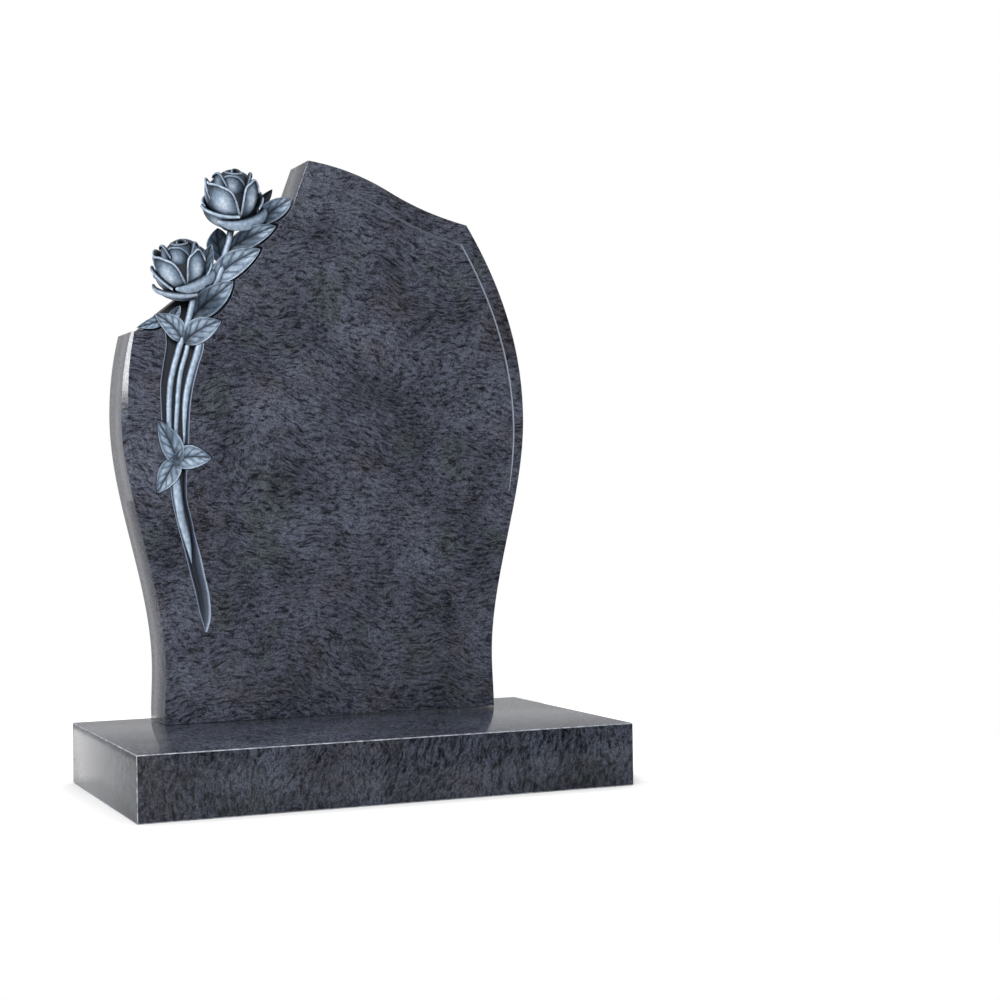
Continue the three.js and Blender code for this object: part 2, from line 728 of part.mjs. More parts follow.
// Where a point of the rose, in its own shares, lies on the tablet
function rosePlace(rose, point) {
  const lean = THREE.MathUtils.degToRad(rose.lean);
  const nod = THREE.MathUtils.degToRad(rose.nod);
  const up = point.z - 0.45;
  const y = point.y * Math.cos(nod) - up * Math.sin(nod);
  const z = point.y * Math.sin(nod) + up * Math.cos(nod);
  const u = point.x * Math.cos(lean) + z * Math.sin(lean);
  const w = -point.x * Math.sin(lean) + z * Math.cos(lean);
  const [across, high] = onTablet(rose.at);
  return [across + u * rose.tall, rose.deep + y * rose.tall * ROSE_FLAT, high + w * rose.tall];
}

function roseSolid(rose) {
  const petals = [...BLOOM, ...rose.skirt].map((petal) => {
    const turned = { ...petal, turn: petal.turn + rose.turn };
    const side = (s, t, out) => {
      const half = (PETAL_THICK / 2) * mix(1, 0.7, t) * out;
      return rosePlace(rose, petalPoint(turned, s, t).addScaledVector(petalNormal(turned, s, t), half));
    };
    const [across, along] = petal.plain ? [3, 4] : [5, 4];
    return sheet((s, t) => side(s, t, 1), (s, t) => side(s, t, -1), across, along);
  });
  const heart = new THREE.LatheGeometry(
    [[0, 0.06], [0.16, 0.06], [0.34, 0.2], [0.38, 0.42], [0.28, 0.66], [0.16, 0.84], [0, 0.9]].map(
      ([out, up]) => new THREE.Vector2(out, up),
    ),
    10,
  );
  heart.rotateX(Math.PI / 2);
  const places = heart.attributes.position;
  for (let i = 0; i < places.count; i += 1) {
    const point = new THREE.Vector3().fromBufferAttribute(places, i);
    places.setXYZ(i, ...rosePlace(rose, point));
  }
  return petals.reduce((whole, petal) => whole.add(petal), toSolid(heart));
}

const ROSES = [
  { at: [-115.5, 53.5], tall: 78, deep: 35, lean: -4, nod: 30, turn: 0, skirt: UPPER_SKIRT },
  { at: [-180.5, 143.5], tall: 76, deep: 35, lean: -15, nod: 30, turn: -14, skirt: LOWER_SKIRT },
];

// The tablet as one solid, then moved onto the base

function tabletSolid() {
  let stone = tabletBlank();
  let cuts = slabOf(FIELD.map(onTablet), -5, FIELD_DEEP).add(channel());
  for (const leaf of LEAVES) {
    cuts = cuts.add(leafPocket(leaf));
  }
  stone = stone.subtract(cuts).subtract(leftChamfer()).subtract(cutLine());
  for (const leaf of LEAVES) {
    stone = stone.add(leafSolid(leaf));
  }
  for (const one of [...FACE_STEMS, ...FIELD_STEMS]) {
    stone = stone.add(one);
  }
  for (const rose of ROSES) {
    stone = stone.add(roseSolid(rose));
  }
  return stone.translate([TABLET_SHIFT, FRONT_Y, BASE_HEIGHT + BED_JOINT]);
}

function baseSolid() {
  const half = BASE_WIDTH / 2;
  const cut = BASE_ARRIS;
  const shape = new THREE.Shape([
    new THREE.Vector2(-half, cut),
    new THREE.Vector2(-half + cut, 0),
    new THREE.Vector2(half - cut, 0),
    new THREE.Vector2(half, cut),
    new THREE.Vector2(half, BASE_HEIGHT - cut),
    new THREE.Vector2(half - cut, BASE_HEIGHT),
    new THREE.Vector2(-half + cut, BASE_HEIGHT),
    new THREE.Vector2(-half, BASE_HEIGHT - cut),
  ]);
  const geometry = new THREE.ExtrudeGeometry(shape, {
    depth: BASE_DEPTH - 2 * cut,
    bevelEnabled: true,
    bevelSegments: 1,
    bevelSize: cut,
    bevelOffset: -cut,
    bevelThickness: cut,
  });
  geometry.translate(0, 0, cut - BASE_DEPTH / 2);
  geometry.rotateX(Math.PI / 2);
  return toSolid(geometry);
}

function meshOf(solid, name, colour, roughness) {
  const { vertProperties, triVerts, numProp } = solid.getMesh();
  const places = new Float32Array((vertProperties.length / numProp) * 3);
  for (let i = 0; i < places.length / 3; i += 1) {
    places.set(vertProperties.subarray(i * numProp, i * numProp + 3), i * 3);
  }
  const { corners } = finished(places, Array.from(triVerts));
  const geometry = new THREE.BufferGeometry();
  geometry.setAttribute("position", new THREE.BufferAttribute(places, 3));
  geometry.setIndex(corners);
  geometry.computeVertexNormals();
  const mesh = new THREE.Mesh(
    geometry,
    new THREE.MeshStandardMaterial({ color: colour, roughness, metalness: 0 }),
  );
  mesh.name = name;
  return mesh;
}

const headstone = new THREE.Group();
headstone.name = "headstone";
headstone.add(meshOf(baseSolid(), "base", 0x454852, 0.25));
headstone.add(meshOf(tabletSolid(), "tablet", 0x4a4c57, 0.3));

export default headstone;
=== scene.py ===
"""Looks of the upright headstone: polished blue-grey granite, with roses, leaves and stems carved in it.

Lengths are millimetres in the tablet's own frame (across from its middle, depth behind its face, up from
its foot) until place() puts them in the row frame in metres.
"""

import math

import bmesh
import bpy
import numpy as np
from mathutils import Matrix, Vector
from mathutils.bvhtree import BVHTree


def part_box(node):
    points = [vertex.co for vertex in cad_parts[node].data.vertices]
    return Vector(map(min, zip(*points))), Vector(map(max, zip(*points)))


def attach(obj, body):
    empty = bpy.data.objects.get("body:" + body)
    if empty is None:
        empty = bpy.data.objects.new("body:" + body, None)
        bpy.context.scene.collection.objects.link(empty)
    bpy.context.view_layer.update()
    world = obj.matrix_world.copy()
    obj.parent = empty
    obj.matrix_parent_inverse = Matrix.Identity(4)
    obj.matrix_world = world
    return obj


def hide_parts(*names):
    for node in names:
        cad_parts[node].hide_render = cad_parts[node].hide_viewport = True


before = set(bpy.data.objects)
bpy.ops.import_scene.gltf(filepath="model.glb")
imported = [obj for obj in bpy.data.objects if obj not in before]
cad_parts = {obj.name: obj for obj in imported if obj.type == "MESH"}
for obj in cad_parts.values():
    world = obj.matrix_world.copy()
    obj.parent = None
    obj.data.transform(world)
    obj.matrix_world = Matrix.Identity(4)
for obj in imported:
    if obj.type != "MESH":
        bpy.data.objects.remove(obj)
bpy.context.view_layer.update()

tablet_low, tablet_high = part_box("tablet")
base_low, base_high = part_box("base")

# Sizes of the tablet, as in the solids
THICK = 76.0
FOOT_HALF = 221.5
WAIST_HALF = 219.5
WAIST_UP = 68.0
BULGE_HALF = 269.5
BULGE_UP = 382.0
PEAK_ACROSS = -26.5
PEAK_UP = 709.5
OGEE_ACROSS = 83.0
OGEE_UP = PEAK_UP - 34.5
SHOULDER_HALF = 191.0
SHOULDER_UP = PEAK_UP - 73.5
LEFT_SHOULDER_UP = PEAK_UP - 223.5
ARRIS = 0.8
FIELD_DEEP = 42.0
LEDGE_DEEP = 14.0
LEAF_DEEP = 9.0
POCKET_GAP = 2.5
CHAMFER_FROM = 255.0
CHAMFER_FULL = 350.0
CHAMFER_WIDE = 9.0
CHAMFER_AT_SHOULDER = 3.5
CHAMFER_SLOPE = 0.8
LINE_BELOW_TOP = 28.0
LINE_AT_SHOULDER = 25.0
LINE_AT_END = 11.0
LINE_END_UP = 285.0
LINE_HALF = 1.1
LINE_DEEP = 2.0

# How far a cutter stands out of the stone
CLEAR = 5.0

MIDDLE = tablet_high.x * 1000 - BULGE_HALF
FACE = tablet_high.y * 1000 - THICK
FOOT = tablet_low.z * 1000

# Material slots of the tablet, in the order of its list of materials, and of the base
POLISHED, HONED, SAWN, CARVED, RECESS, CUT, EASED = range(7)
BASE_SIDE, BASE_BACK, BASE_UNDER, BASE_ARRIS, BASE_TOP = range(5)

# Kinds of carved shell, which the carved material tells apart
LEAF, STEM, PETAL = 1.0, 2.0, 3.0


def place(points):
    """Rows of across, depth, up in millimetres, as row-frame metres."""
    p = np.asarray(points, float).reshape(-1, 3)
    return np.column_stack([p[:, 0] + MIDDLE, p[:, 1] + FACE, p[:, 2] + FOOT]) / 1000


def mix(a, b, t):
    return a + (b - a) * t


def smooth(t):
    k = np.clip(t, 0, 1)
    return k * k * (3 - 2 * k)


def bell(x, wide):
    return np.exp(-((x / wide) ** 2))


def hermite(x, x0, y0, m0, x1, y1, m1):
    span = x1 - x0
    t = (x - x0) / span
    a = 1 - 3 * t**2 + 2 * t**3
    return y0 * a + span * m0 * (t - 2 * t**2 + t**3) + y1 * (1 - a) + span * m1 * (t**3 - t**2)


def on_tablet(pairs):
    """Places given across and down from the peak, as across and up."""
    p = np.asarray(pairs, float).reshape(-1, 2)
    return np.column_stack([p[:, 0], PEAK_UP - p[:, 1]])


# Outline of the tablet


def half_width(up):
    up = np.asarray(up, float)
    foot = mix(FOOT_HALF, WAIST_HALF, smooth(up / WAIST_UP))
    belly = mix(WAIST_HALF, BULGE_HALF, smooth((up - WAIST_UP) / (BULGE_UP - WAIST_UP)))
    t = np.clip((up - BULGE_UP) / (SHOULDER_UP - BULGE_UP), 0, None)
    over = BULGE_HALF - (BULGE_HALF - SHOULDER_HALF) * t**2.05
    return np.where(up < WAIST_UP, foot, np.where(up < BULGE_UP, belly, over))


def top_up(across):
    across = np.asarray(across, float)
    near = hermite(across, PEAK_ACROSS, PEAK_UP, -0.12, OGEE_ACROSS, OGEE_UP, -0.54)
    far = hermite(across, OGEE_ACROSS, OGEE_UP, -0.54, SHOULDER_HALF, SHOULDER_UP, -0.22)
    return np.where(across < OGEE_ACROSS, near, far)


# The diagonal edge behind the flowers, across and down from the peak
BACKDROP = [
    (-47, 54.5), (-62, 73.5), (-100, 97.5), (-136, 131.5), (-172, 164.5), (-206, 191.5), (-240, 220.5),
]


def outline():
    up = np.linspace(0, SHOULDER_UP, 90)
    right = np.column_stack([half_width(up), up])
    across = np.linspace(SHOULDER_HALF, PEAK_ACROSS, 44)[1:]
    top = np.column_stack([across, top_up(across)])
    up = np.linspace(LEFT_SHOULDER_UP, 0, 72)
    left = np.column_stack([-half_width(up), up])
    return np.vstack([right, top, on_tablet(BACKDROP), left])


def inset(points, by):
    """The outline moved inwards by a distance, with its corners mitred. It runs anticlockwise."""
    before = points - np.roll(points, 1, 0)
    after = np.roll(points, -1, 0) - points
    before /= np.linalg.norm(before, axis=1)[:, None]
    after /= np.linalg.norm(after, axis=1)[:, None]
    one = np.column_stack([-before[:, 1], before[:, 0]])
    two = np.column_stack([-after[:, 1], after[:, 0]])
    mid = one + two
    mid /= np.maximum((mid * one).sum(1), 0.4)[:, None]
    return points + mid * by


# Meshes

made_shells = []


def new_object(name, places, faces, slots=None):
    mesh = bpy.data.meshes.new(name)
    mesh.from_pydata([tuple(p) for p in places], [], faces)
    mesh.validate()
    made = bpy.data.objects.new(name, mesh)
    bpy.context.scene.collection.objects.link(made)
    if slots is not None:
        mesh.polygons.foreach_set("material_index", np.asarray(slots, np.int32)[: len(mesh.polygons)])
    return made


def prism(rings):
    """Vertices and faces of a closed loft through rings with equal counts."""
    rings = np.asarray(rings, float)
    count, round_ = rings.shape[:2]
    faces = []
    for i in range(count - 1):
        for j in range(round_):
            k = (j + 1) % round_
            faces.append((i * round_ + j, i * round_ + k, (i + 1) * round_ + k, (i + 1) * round_ + j))
    faces.append(tuple(range(round_ - 1, -1, -1)))
    faces.append(tuple((count - 1) * round_ + j for j in range(round_)))
    return rings.reshape(-1, 3), faces


def outward(made):
    """Turns the faces of a closed mesh outwards."""
    b = bmesh.new()
    b.from_mesh(made.data)
    bmesh.ops.recalc_face_normals(b, faces=b.faces)
    if b.calc_volume(signed=True) < 0:
        bmesh.ops.reverse_faces(b, faces=b.faces)
    b.to_mesh(made.data)
    b.free()
    return made


def cutter(name, rings, slot):
    places, faces = prism(rings)
    made = new_object(name, place(places), faces, [slot] * len(faces))
    return outward(made)


def slab(name, points, start, stop, slot):
    rings = [[(u, d, w) for u, w in points] for d in (start, stop)]
    return cutter(name, rings, slot)


def shell(places, faces, slot, painted_shading, s=None, t=None, kind=0.0):
    """Keeps a closed carved shell for the tablet, with what its colour needs at each vertex: its painted
    light and shade among them.
    """
    count = len(places)

    def fill(x):
        return np.full(count, 0.0) if x is None else np.broadcast_to(np.asarray(x, float), count)

    made_shells.append((place(places), faces, slot, fill(painted_shading), fill(s), fill(t), np.full(count, kind)))


def sheet(front, back, across, along):
    """A closed sheet between two surfaces of s (-1 to 1) and t (0 to 1), which meet at its rim."""
    s, t = np.meshgrid(np.linspace(-1, 1, across + 1), np.linspace(0, 1, along + 1))
    s, t = s.ravel(), t.ravel()
    places = np.vstack([front(s, t), back(s, t)])
    row, layer = across + 1, len(s)
    faces = []
    for j in range(along):
        for i in range(across):
            a = j * row + i
            faces.append((a, a + 1, a + row + 1, a + row))
            b = a + layer
            faces.append((b, b + row, b + row + 1, b + 1))
    rim = list(range(across)) + [across + j * row for j in range(along)]
    rim += [along * row + across - i for i in range(across)] + [(along - j) * row for j in range(along)]
    for k, a in enumerate(rim):
        b = rim[(k + 1) % len(rim)]
        faces.append((b, a, a + layer, b + layer))
    return places, faces, np.tile(s, 2), np.tile(t, 2)


# Leaves. base and tip are across and down from the peak; start and stop are the depths at base and tip.
# low moves the widest place towards the base, fold is the height of the midrib's hollow, and roll tips the
# leaf about its midrib. shade scales the leaf's painted light and shade: darker below 1, paler above it.

ON_FACE = dict(floor=LEAF_DEEP, fold=2.4)
LEAVES = [
    dict(base=(-90, 82.5), tip=(-49, 49.5), wide=27, bow=2, start=38, stop=2, floor=FIELD_DEEP, low=1.1),
    dict(base=(-124, 115.5), tip=(-70, 85.5), wide=27, bow=3, start=34, stop=2, floor=FIELD_DEEP),
    dict(base=(-148, 157.5), tip=(-91, 115.5), wide=33, bow=5, start=20, stop=2, floor=FIELD_DEEP),
    dict(base=(-156, 153.5), tip=(-150, 109.5), wide=20, bow=3, start=24, stop=17, floor=FIELD_DEEP),
    dict(base=(-171, 201.5), tip=(-127, 157.5), wide=34, bow=2, start=34, stop=2, floor=FIELD_DEEP),
    dict(base=(-127, 139.5), tip=(-137, 86.5), wide=40, bow=3, start=28, stop=34, floor=FIELD_DEEP, roll=-9,
         low=1.25, shade=0.7),
    dict(base=(-94, 66.5), tip=(-68.5, 36), wide=15, bow=-1, start=33, stop=20, floor=30, shade=0.3),
    dict(base=(-204, 211.5), tip=(-190, 187.5), wide=14, bow=0, start=24, stop=22, floor=FIELD_DEEP,
         shade=1.3),
    dict(base=(-208, 201.5), tip=(-248, 217.5), wide=15, bow=2, start=10, stop=6, floor=LEDGE_DEEP,
         shade=1.35),
    dict(base=(-190, 235.5), tip=(-143, 207.5), wide=32, bow=4, start=3, stop=1.5, **ON_FACE),
    dict(base=(-192, 233.5), tip=(-226, 200.5), wide=27, bow=-5, start=3, stop=1.5, **ON_FACE),
    dict(base=(-199, 388.5), tip=(-225, 332.5), wide=29, bow=-2.5, start=2, stop=1, **ON_FACE),
    dict(base=(-207, 383.5), tip=(-158, 379.5), wide=31, bow=4, start=2, stop=1, **ON_FACE),
    dict(base=(-200, 377.5), tip=(-227, 422.5), wide=28, bow=0, start=2, stop=1, **ON_FACE),
]


def leaf_place(leaf, s, t, grow=0.0):
    (bu, bw), (tu, tw) = on_tablet([leaf["base"], leaf["tip"]])
    long = math.hypot(tu - bu, tw - bw)
    du, dw = (tu - bu) / long, (tw - bw) / long
    reach = mix(-grow, long + grow * 1.6, t)
    k = np.clip(t, 0, 1)
    bow = leaf["bow"] * np.sin(np.pi * k**0.9)
    swell = np.clip(np.sin(np.pi * k ** leaf.get("low", 0.82)), 0, 1) ** 0.8 * (1 - 0.12 * k)
    half = leaf["wide"] / 2 * swell + grow * np.sin(np.pi * mix(0.08, 0.92, k)) ** 0.5
    side = bow + half * s
    return bu + du * reach - dw * side, bw + dw * reach + du * side


# Side veins along a leaf, how far each slants towards the tip, and how far the halves are out of step
VEINS = 4.6
VEIN_SLANT = 0.3
VEIN_STEP = 0.35


def vein(s, t):
    """How deep in a side vein a point is, from 0 to 1."""
    wide = np.abs(s)
    run = (t - VEIN_SLANT * wide) * VEINS + VEIN_STEP * (s > 0)
    away = np.abs(run - np.round(run)) * 2
    return np.clip(1 - away / 0.45, 0, 1) * smooth((wide - 0.05) / 0.15) * smooth((0.86 - wide) / 0.15)


def leaf_depth(leaf, s, t, carved=True):
    fold = leaf.get("fold", 3.5)
    lift = mix(leaf["start"], leaf["stop"], smooth(t * 1.15))
    ends = np.clip(np.sin(np.pi * np.clip(t, 0, 1)), 0, 1)
    depth = lift + fold * (1 - np.abs(s)) * ends**0.6 + leaf.get("roll", 0) * s * ends
    if carved:
        keep = smooth(ends * 3)
        depth = depth - keep * 0.6 * bell(1 - np.abs(s), 0.13)
        depth = depth + keep * (0.55 * vein(s, t) + 0.6 * bell(s, 0.09))
    return depth


def leaf_floor(leaf, t):
    return mix(leaf["floor"], min(leaf["floor"], LEDGE_DEEP), smooth(t * 1.6))


def add_leaf(leaf):
    def front(s, t):
        u, w = leaf_place(leaf, s, t)
        return np.column_stack([u, leaf_depth(leaf, s, t), w])

    def back(s, t):
        u, w = leaf_place(leaf, s, t)
        thin = leaf_depth(leaf, s, t, False) + 3.0
        floor = leaf_floor(leaf, t) + 1.5
        return np.column_stack([u, mix(np.maximum(thin, floor), thin, np.abs(s) ** 2), w])

    places, faces, s, t = sheet(front, back, 24, 34)
    ends = np.clip(np.sin(np.pi * t), 0, 1)
    # Painted light and shade of a leaf: a painted highlight along its rim, painted shade in its veins and
    # down its midrib, and darker towards its base and its ends.
    painted_shading = 0.68 + 0.62 * bell(1 - np.abs(s), 0.12) - 0.34 * vein(s, t) + 0.2 * bell(np.abs(s) - 0.55, 0.25)
    painted_shading = painted_shading - 0.28 * bell(s, 0.14) + 0.1 * smooth((t - 0.8) / 0.2)
    painted_shading = painted_shading * mix(0.7, 1, smooth(t * 4)) * leaf.get("shade", 1.0)
    shell(places, faces, CARVED, painted_shading * mix(0.85, 1, ends), s, t, LEAF)


def leaf_pocket(leaf, name):
    rings = []
    gap = POCKET_GAP * (0.45 if leaf["floor"] == LEAF_DEEP else 1)
    for t in np.linspace(0, 1, 25):
        one, two = leaf_place(leaf, -1, t, gap), leaf_place(leaf, 1, t, gap)
        deep = float(leaf_floor(leaf, t))
        rings.append([(u, d, w) for (u, w), d in ((one, -CLEAR), (two, -CLEAR), (two, deep), (one, deep))])
    return cutter(name, rings, RECESS)


# Stems


def spline(points, count):
    """A Catmull-Rom line through the rows of points, with the same number of steps from each to the next."""
    p = np.asarray(points, float)
    p = np.vstack([2 * p[0] - p[1], p, 2 * p[-1] - p[-2]])
    out = []
    for at in np.linspace(0, len(p) - 3, count):
        i = min(int(at), len(p) - 4)
        x = at - i
        a, b, c, d = p[i : i + 4]
        bend = (2 * a - 5 * b + 4 * c - d) * x**2 + (3 * b - a - 3 * c + d) * x**3
        out.append(0.5 * (2 * b + (c - a) * x + bend))
    return np.array(out)


def add_stem(line, deep, rise, sides=16, count=48):
    rows = [(u, PEAK_UP - down, wide, rest[0] if rest else deep) for u, down, wide, *rest in line]
    path = spline(rows, count)
    run = np.gradient(path[:, :2], axis=0)
    run /= np.linalg.norm(run, axis=1)[:, None]
    turn = 2 * np.pi * (np.arange(sides) + 0.5) / sides
    rings, stem_shading, around, along = [], [], [], []
    for i, (u, w, wide, d) in enumerate(path):
        half = max(0.3, wide / 2)
        side = half * np.cos(turn)
        out = np.sin(turn) * np.where(np.sin(turn) > 0, min(rise, half * 1.2), half)
        rings.append(np.column_stack([u - run[i, 1] * side, d - out, w + run[i, 0] * side]))
        # Painted light and shade of a stem: brighter where it faces forward, with a painted highlight along
        # one side.
        front = np.clip(np.sin(turn), 0, 1)
        stem_shading.append(0.32 + 0.38 * front**1.5 + 0.34 * bell(np.cos(turn) + 0.62, 0.3) * front)
        around.append(np.cos(turn))
        along.append(np.full(sides, i / count))
    places, faces = prism(rings)
    shell(places, faces, CARVED, np.ravel(stem_shading), np.ravel(around), np.ravel(along), STEM)


# Each stem: across, down from the peak, width and, where it isn't the stem's own, depth of its middle; then
# that depth, and how far the front stands out from it
FACE_STEMS = [
    ([(-183, 223.5, 6, 10), (-187, 245.5, 6.6), (-196, 278.5, 6.8), (-201, 333.5, 6.4, 7),
      (-202, 374.5, 6, 12)], 6.5, 4),
    ([(-166, 221.5, 8, 11), (-172, 243.5, 9.5), (-185, 286.5, 9), (-190, 318.5, 8),
      (-191, 362.5, 2.5, 8)], 6, 4),
    ([(-204, 391.5, 12, 10), (-202, 419.5, 13), (-197.5, 453.5, 12.5), (-190, 481.5, 10.5),
      (-184, 510.5, 1)], 5.5, 3.5),
]
FIELD_STEMS = [
    ([(-117, 77.5, 10, 38), (-125, 103.5, 8, 26), (-132, 121.5, 8), (-136, 139.5, 8), (-145, 161.5, 8, 24),
      (-158, 191.5, 8, 46)], 22, 5),
    ([(-168, 161.5, 10, 42), (-173, 179.5, 8.5, 26), (-179, 199.5, 8.5, 19), (-186, 217.5, 8, 12),
      (-192, 231.5, 8, 7.5), (-198, 247.5, 8, 6), (-208, 286.5, 8, 6), (-210.5, 333.5, 7.6, 6.5),
      (-207, 374.5, 7, 12)], 6, 4.5),
]

# Down, left side, right side and depth of the channel that the stems lie in
CHANNEL = [
    (223.5, -214, -172, 11), (239.5, -213, -166, 11), (263.5, -217, -173, 11), (287.5, -220.5, -179.5, 11),
    (313.5, -220.5, -184, 11), (341.5, -219, -186, 11), (369.5, -216, -187, 10), (399.5, -211, -190, 10),
    (430.5, -208, -190, 9), (455.5, -203, -184.5, 9), (477.5, -197.5, -180, 9), (502.5, -191, -173.5, 8.5),
    (526.5, -185.5, -168.5, 8), (546.5, -180.5, -164, 7), (565.5, -177, -162, 6), (581.5, -173, -162.5, 4),
    (596.5, -168.5, -167, 0.6),
]


def channel_rings():
    rings = []
    for down, left, right, deep in spline(CHANNEL, 65):
        up = PEAK_UP - down
        bottom = mix(0.78, 0.08, smooth((down - 460) / 60))
        side = (right - left) * (1 - bottom) / 2
        lip = 1.2 * min(1, deep / 8)
        rings.append([
            (left - lip, -3, up), (left - lip, 0, up), (left, lip * 0.8, up), (left + side * 0.7, deep, up),
            (right - side * 1.3, deep, up), (right, 0, up), (right, -3, up),
        ])
    return rings


# Roses, in shares of their own height. A petal turns about the rose's axis by turn and reaches span degrees
# to each side. foot, belly and rim are out from the axis and up, dip lowers the rim's ends, and lip is how
# far the rim rolls out and down.

HEART, BUD, CUP, CALYX = (0.06, 0.55), (0.12, 0.5), (0.14, 0.15), (0.1, 0.12)
FINE = (0.02, 0)
PLAIN = (0.035, 0)
BLOOM = [
    dict(turn=-10, span=100, foot=HEART, belly=(0.3, 0.74), rim=(0.1, 0.99), dip=0.06, lip=FINE),
    dict(turn=-170, span=100, foot=HEART, belly=(0.24, 0.82), rim=(0.03, 1.0), dip=0.06, lip=FINE),
    dict(turn=-22, span=50, foot=HEART, belly=(0.36, 0.7), rim=(0.2, 0.99), dip=0.3, round=3, lip=FINE),
    dict(turn=-70, span=34, foot=BUD, belly=(0.38, 0.66), rim=(0.28, 1.0), dip=0.25),
    dict(turn=62, span=34, foot=BUD, belly=(0.36, 0.66), rim=(0.24, 1.0), dip=0.25),
    dict(turn=176, span=62, foot=BUD, belly=(0.36, 0.62), rim=(0.26, 0.88), dip=0.2, plain=True),
    dict(turn=-36, span=42, foot=CUP, belly=(0.56, 0.38), rim=(0.42, 0.86), dip=0.5, round=3.5,
         lopsided=0.85, slant=-0.08),
    dict(turn=31, span=30, foot=CUP, belly=(0.54, 0.42), rim=(0.36, 0.92), dip=0.6, round=5,
         lopsided=-0.5, slant=0.08),
    dict(turn=86, span=44, foot=CUP, belly=(0.55, 0.33), rim=(0.44, 0.58), dip=0.2, plain=True),
    dict(turn=-104, span=38, foot=CUP, belly=(0.55, 0.38), rim=(0.45, 0.8), dip=0.25, plain=True),
    dict(turn=180, span=54, foot=CUP, belly=(0.54, 0.35), rim=(0.44, 0.74), dip=0.2, plain=True),
]
BEHIND = [
    dict(turn=128, span=40, foot=CALYX, belly=(0.4, 0.06), rim=(0.44, 0.38), dip=0, plain=True),
    dict(turn=-136, span=56, foot=CALYX, belly=(0.44, 0.06), rim=(0.5, 0.42), dip=0, plain=True),
]
UPPER_SKIRT = [
    dict(turn=27, span=68, foot=CALYX, belly=(0.44, 0.08), rim=(0.5, 0.39), dip=0, slant=0.08,
         lip=(0.1, 0.14), taper=0.85),
    dict(turn=-46, span=45, foot=CALYX, belly=(0.44, 0.06), rim=(0.5, 0.42), dip=0,
         lip=(0.05, 0.02), taper=0.3),
]
LOWER_SKIRT = [
    dict(turn=38, span=60, foot=CALYX, belly=(0.44, 0.1), rim=(0.46, 0.5), dip=0.12, slant=0.03,
         lip=(0.1, 0.14), taper=0.85),
    dict(turn=-62, span=34, foot=CALYX, belly=(0.46, 0.1), rim=(0.5, 0.56), dip=0.1, slant=-0.12,
         lip=(0.04, 0.02), taper=0.3),
    dict(turn=-34, span=52, foot=CALYX, belly=(0.44, 0.02), rim=(0.54, 0.34), dip=0.1, slant=-0.02,
         lip=(0.05, 0.06), taper=0.6),
]
PETAL_THICK = 0.045
LIP_FROM = 0.72
ROSE_FLAT = 0.74
ROSES = [
    dict(at=(-115.5, 53.5), tall=78, deep=35, lean=-4, nod=30, turn=0, skirt=UPPER_SKIRT),
    dict(at=(-180.5, 143.5), tall=76, deep=35, lean=-15, nod=30, turn=-14, skirt=LOWER_SKIRT),
]


def petal_point(petal, turn, s, t):
    lip_out, lip_drop = petal.get("lip", PLAIN)
    edge = np.abs(s) ** petal.get("round", 2) * (1 + petal.get("lopsided", 0) * s)
    body = np.maximum(np.minimum(1, t / LIP_FROM) * (1 - petal["dip"] * edge), 0)
    a, b, c = (1 - body) ** 2, 2 * body * (1 - body), body * body
    foot, belly, rim = petal["foot"], petal["belly"], petal["rim"]
    out = a * foot[0] + b * belly[0] + c * rim[0]
    up = a * foot[1] + b * belly[1] + c * rim[1] + petal.get("slant", 0) * s * body
    curl = np.clip((t - LIP_FROM) / (1 - LIP_FROM), 0, 1)
    full = 1 - petal.get("taper", 0) * np.minimum(1, np.abs(s)) ** 3
    out = out + lip_out * np.sin(np.pi / 2 * curl) * full
    up = up + 0.02 * np.sin(np.pi * curl) - lip_drop * curl**2 * full
    spread = mix(0.6, 1, np.sin(np.pi / 2 * np.minimum(1, t * 1.3)))
    angle = np.radians(petal["turn"] + turn + petal["span"] * s * spread)
    out = out - 0.02 * s
    return np.stack([out * np.sin(angle), -out * np.cos(angle), up], -1)


def petal_normal(petal, turn, s, t):
    e = 0.03
    a = petal_point(petal, turn, s + e, t) - petal_point(petal, turn, s - e, t)
    b = petal_point(petal, turn, s, np.minimum(1, t + e)) - petal_point(petal, turn, s, np.maximum(0, t - e))
    n = np.cross(a, b)
    return n / np.maximum(np.linalg.norm(n, axis=-1), 1e-9)[:, None]


def rose_place(rose, point):
    lean, nod = math.radians(rose["lean"]), math.radians(rose["nod"])
    up = point[:, 2] - 0.45
    y = point[:, 1] * math.cos(nod) - up * math.sin(nod)
    z = point[:, 1] * math.sin(nod) + up * math.cos(nod)
    u = point[:, 0] * math.cos(lean) + z * math.sin(lean)
    w = -point[:, 0] * math.sin(lean) + z * math.cos(lean)
    tall = rose["tall"]
    (across, high), = on_tablet([rose["at"]])
    return np.column_stack([across + u * tall, rose["deep"] + y * tall * ROSE_FLAT, high + w * tall])


def petal_shading(petal, s, t):
    """Painted light and shade of a petal: painted highlights on the rim and belly, painted shade under the
    rim and down in the cup.
    """
    wide_lip = petal.get("lip", PLAIN)[1] > 0.1
    lip = smooth((t - (0.74 if wide_lip else 0.82)) / 0.08)
    belly = np.exp(-(s**2 / 0.4 + (t - 0.5) ** 2 / 0.05))
    painted_shading = 0.16 + 0.78 * belly + (0.5 if wide_lip else 0.62) * lip
    if not wide_lip:
        painted_shading = painted_shading - 0.2 * bell(t - 0.75, 0.06)
    # Inner petals are painted darker, as painted shade inside the bloom.
    if petal["foot"] in (HEART, BUD):
        painted_shading = painted_shading * 0.78
    return painted_shading + 0.34 * bell(1 - np.abs(s), 0.08) * smooth((t - 0.2) * 3)


